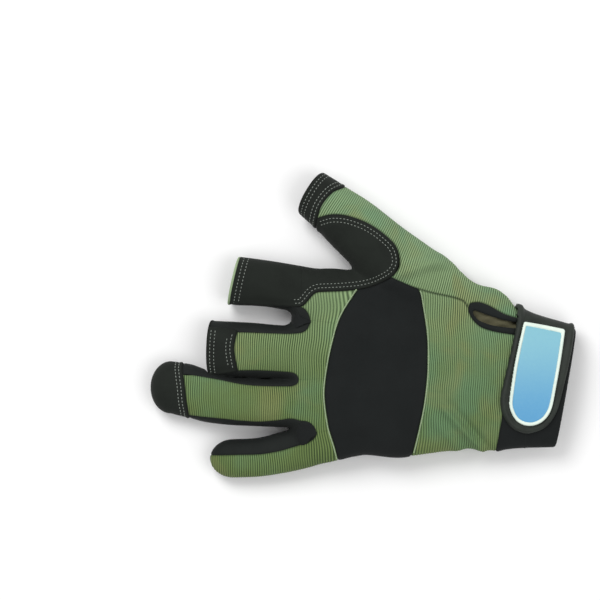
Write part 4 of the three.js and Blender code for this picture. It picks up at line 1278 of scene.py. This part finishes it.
def beads(name, lines, pitch, length, width, material):
    """Stitches along lines of skin points and the ways out there: rings of points round each bead's axis,
    sunk at the ends by the square of the distance from its middle."""
    found = []
    for points, out in lines:
        spots, at, run = even_steps(points, pitch)
        ahead = read_line(at + 0.4, run, points) - read_line(at - 0.4, run, points)
        good = np.linalg.norm(ahead, axis=1) > 0.3
        found.append((spots[good], ahead[good], read_line(at, run, out)[good]))
    centre, way, out = (np.concatenate(x) for x in zip(*found))
    centre[:, 2] = np.maximum(centre[:, 2], width / 2 + TABLE_GAP)
    way = unit(way)
    aside = unit(np.cross(way, unit(out)))
    out = np.cross(aside, way)
    centre, way, aside, out = (x[:, None, None] for x in (centre, way, aside, out))
    turn = np.arange(BEAD_SIDES) / BEAD_SIDES * 2 * np.pi
    a, r = BEAD_PLACES[:, None, None], BEAD_WIDTHS[:, None, None] * width / 2
    c, s = np.cos(turn)[:, None], np.sin(turn)[:, None]
    points = centre + a * length / 2 * way + r * c * aside + (r * s - 0.22 * a**2) * out
    first = np.arange(len(centre))[:, None, None] * len(BEAD_PLACES) * BEAD_SIDES
    faces = (tube_faces(len(BEAD_PLACES), BEAD_SIDES) + first).reshape(-1, 4).tolist()
    piece = mesh_object(name, points, faces, materials=[material])
    weld(piece, outwards=True)
    return settle(piece)


print("faces of one stitch", len(tube_faces(len(BEAD_PLACES), BEAD_SIDES)))

# %% [markdown]
# ## Lines of stitches
# Leather has two rows of stitches beside each seam. Where the seam is drawn from above, its line is moved
# inwards and laid on the skin. Round a finger it is found on the finger's chart instead, by halving the
# rows between.

# %% Lines of stitches
def stretches(skin, out, level, good, least_points=6):
    """The stretches of a line where good holds, lifted by level: pairs of skin points and the ways out
    there."""
    ends = np.flatnonzero(np.diff(np.concatenate([[False], good, [False]]).astype(int)))
    pairs = [(a, b) for a, b in zip(ends[::2], ends[1::2]) if b - a > least_points]
    return [(skin[a:b] + level * out[a:b], out[a:b]) for a, b in pairs]


def seam_lines(seam, inset, keep, level, chart=top_chart):
    """The lines on the skin that run beside a seam, inset millimetres inside it, where all of keep hold."""
    points, after = seam.points, np.roll(seam.points, -1, axis=0)
    way = unit(after - np.roll(points, 1, axis=0))
    area = 0.5 * (points[:, 0] * after[:, 1] - after[:, 0] * points[:, 1]).sum()
    moved = points + inset * np.column_stack([-way[:, 1], way[:, 0]]) * np.sign(area)
    dense = smooth_line(moved, steps=4)
    dense = even_steps(np.concatenate([dense, dense[:1]]), 0.4)[0]
    low, high = (place(corner) for corner in PLAN_CORNERS)
    share = (dense - low) / (high - low)
    skin, out = chart.at(share[:, 0] * (chart.rows - 1), share[:, 1] * (chart.columns - 1))
    good = (least(keep, skin) > 0) & (np.abs(out[:, 2]) > 0.25) & (np.abs(seam(dense) - inset) < 0.35)
    lines = stretches(skin, out, level, good)
    if good[0] and good[-1] and len(lines) > 1:
        last, first = lines.pop(), lines.pop(0)
        lines.append(tuple(np.concatenate(pair) for pair in zip(last, first)))
    return lines


def find_rows(chart, test, value, rows, m):
    """The row at each of the columns m where a test has a value, found by halving the rows between."""
    low, high = np.full(len(m), float(rows[0])), np.full(len(m), float(rows[1]))
    for _ in range(20):
        half = (low + high) / 2
        good = test(chart.at(half, m)[0]) > value
        low, high = np.where(good, half, low), np.where(good, high, half)
    return low


def ring_lines(chart, test, inset, rows, columns, keep, level=0.3):
    """A line round a finger where a test has the value inset and all of keep hold."""
    m = np.linspace(*columns, 120)
    w = find_rows(chart, test, inset, rows, m)
    skin, out = chart.at(w, m)
    good = (w > min(rows) + 0.2) & (w < max(rows) - 0.2) & (least(keep, skin) > 0)
    return stretches(skin, out, level, good)


def off_band_ends(inset):
    """Keeps a line off the two ends of the middle finger's band, and more so the deeper it lies."""
    across, half = place([0.8, 0.572])[1], 0.103 * PALM_WIDTH
    return lambda p: 1.0 - inset + half - np.abs(p[..., 1] - across)


def before_index(p):
    """Positive on the hand's side of the place where the web's stitches end on the index finger."""
    return (0.665 - 0.5) * GLOVE_LENGTH + p[..., 0]


cut_row = find_rows(index_chart, index_end, 0, index_chart.span(0.7), np.zeros(1))[0]
print("the index finger is cut at row", round(float(cut_row), 1), "of", index_chart.rows)

# %% [markdown]
# ## Stitches
# Every row below names a chart, a test and the two distances of its stitch lines. The distances are
# negative where the test is of being outside a seam. Palm stitches are a piece of their own, out of sight
# under the glove.

# %% Stitches
on_web = [above(9), outside(THUMB_BAND), lambda p: index_end(p) - 1.0, before_index]
lines = [line for inset in (2.1, 4.2) for line in seam_lines(WEB, inset, on_web, 0.22)]
tip_rows = (ring_finger_chart.row(0.88), ring_finger_chart.rows - 5)
ROUND_FINGERS = [  # chart, test, insets, rows, columns, what keeps it
    (index_chart, index_end, (2.4, 4.9), index_chart.span(0.7), (4, 46), [WEB, above(7)]),
    (thumb_chart, thumb_end, (1.9, 4.1), (50, 75), (-20, 50), [THUMB_BAND, above(7)]),
    (thumb_chart, outside(THUMB_BAND), (-1.8, -3.9), (50, 75), (-20, 50), [THUMB_BAND, above(7), thumb_end]),
    (middle_chart, middle_end, (1.6, 3.9), middle_chart.span(0.75), (2, 46), [MIDDLE_BAND, above(7)]),
    (middle_chart, outside(MIDDLE_BAND), (-2.3,), middle_chart.span(0.75, 0.84), (4, 44),
     [MIDDLE_BAND, above(7), off_band_ends(2.3)]),
    (middle_chart, outside(MIDDLE_BAND), (-4.6,), middle_chart.span(0.75, 0.84), (4, 44),
     [MIDDLE_BAND, above(7), off_band_ends(4.6)]),
    (ring_finger_chart, outside(CAP), (-2.2, -4.2), tip_rows, (2, 46), [CAP, above(6.5)]),
]
for chart, test, insets, rows, columns, keep in ROUND_FINGERS:
    for inset in insets:
        lines += ring_lines(chart, test, inset, rows, columns, keep)
beads("seam_stitches", lines, material=THREAD, **STITCH)
on_palm = [below(PALM_SEAM - 1)]
palm_lines = [line for seam in (THENAR, HEEL) for inset in (2.0, 4.1)
              for line in seam_lines(seam, inset, on_palm, 1.3, palm_chart)]
beads("palm_stitches", palm_lines, material=THREAD, **STITCH)

# %% [markdown]
# ## Edgings
# The pad's seam is overlocked in light green, so close that it reads as a line. The index finger's cut end
# shows a thin rim of the green lining, and the other openings have a rolled black hem.

# %% Edgings
def cord_along(name, points, outs, radius, material, sides=8):
    """A round edge: a circle carried along a closed line of skin points, in the plane of the way out and
    the side."""
    points = np.column_stack([points[:, :2], np.maximum(points[:, 2], radius + 0.05)])
    way = unit(np.roll(points, -1, axis=0) - np.roll(points, 1, axis=0))
    aside = unit(np.cross(way, outs))
    up = np.cross(aside, way)
    turn = np.arange(sides) / sides * 2 * np.pi
    circle = np.cos(turn)[:, None] * aside[:, None] + np.sin(turn)[:, None] * up[:, None]
    faces = tube_faces(len(points), sides, closed=True).tolist()
    piece = mesh_object(name, points[:, None] + radius * circle, faces, materials=[material])
    weld(piece, outwards=True)
    return settle(piece)


def open_end(chart, test, rows, level, count=150):
    """The line all the way round an opening where the glove is cut off, and the ways out there."""
    m = np.linspace(0, chart.columns, count, endpoint=False)
    skin, out = chart.at(find_rows(chart, test, 0, rows, m), m)
    return skin + level * out, out


RIM_FORWARD = 0.8 * np.array([-0.97, -0.22, 0.0])
rim, rim_out = open_end(index_chart, index_end, index_chart.span(0.7), -0.3)
cord_along("index_rim", rim + RIM_FORWARD, rim_out, 0.72, RIM_GREEN)
hem = open_end(middle_tip_chart, middle_end, middle_tip_chart.span(), -0.45)
cord_along("middle_rim", *hem, 0.75, LEATHER)
cord_along("thumb_rim", *open_end(thumb_chart, thumb_end, (56, 75), -0.45), 0.75, LEATHER)
cord_along("cuff_rim", *open_end(hand_chart, CUFF_END, (hand_chart.row(0.12), 0), 0.1), 1.0, BINDING)
pad_lines = seam_lines(KNUCKLE, -0.55, [above(9), outside(WEB), lambda p: -THUMB_PANEL(p) - 0.5], 0.2)
beads("pad_overlock", pad_lines, material=THREAD_GREEN, **OVERLOCK)

# %% [markdown]
# ## Camera, light and floor
# The photograph looks straight down with little perspective, so the camera hangs well above the table with
# a long lens. One soft light from the upper left and a weaker one opposite leave the gentle shading of a
# light tent.

# %% Camera, light and floor
scene = bpy.context.scene
scene.view_settings.view_transform = "Standard"
VIEW_CENTRE = np.array([-35.67, 14.42]) * MM
VIEW_WIDTH, CAMERA_HEIGHT, GLOVE_MIDDLE, SENSOR = 0.342, 1.6, 0.012, 36.0
camera = bpy.data.objects.new("camera", bpy.data.cameras.new("camera"))
camera.location = (*VIEW_CENTRE, CAMERA_HEIGHT)
camera.data.sensor_width = SENSOR
camera.data.lens = SENSOR * (CAMERA_HEIGHT - GLOVE_MIDDLE) / VIEW_WIDTH
bpy.context.collection.objects.link(camera)
scene.camera = camera

FLOOR_HALF, FLOOR_HEIGHT = 1500.0, -0.05
corners = FLOOR_HALF * np.array([[-1, -1], [1, -1], [1, 1], [-1, 1]])
floor_points = np.column_stack([corners, np.full(4, FLOOR_HEIGHT)])
paper = Finish("floor_white", roughness=0.9)
paper.set(Base_Color=paper.mix(paper.noise(3.0) * 0.3, (0.93, 0.93, 0.93, 1.0), (0.96, 0.96, 0.96, 1.0)))
floor = mesh_object("floor", floor_points, [[0, 1, 2, 3]], materials=[paper.material], smooth=False)


def soft_light(name, location, size, power):
    """A square area light that faces the glove."""
    lamp = bpy.data.lights.new(name, "AREA")
    lamp.size, lamp.energy = size, power
    holder = bpy.data.objects.new(name, lamp)
    holder.location = location
    holder.rotation_euler = (-Vector(location)).to_track_quat("-Z", "Y").to_euler()
    bpy.context.collection.objects.link(holder)


soft_light("key_light", (-0.5, 0.7, 1.1), 0.7, 11.0)
soft_light("fill_light", (0.8, -0.4, 1.2), 1.2, 7.0)
scene.world = scene.world or bpy.data.worlds.new("studio")
scene.world.use_nodes = True
background = scene.world.node_tree.nodes["Background"]
background.inputs["Color"].default_value = (1.0, 1.0, 1.0, 1.0)
background.inputs["Strength"].default_value = 0.55
print("lens", round(camera.data.lens, 1), "mm")
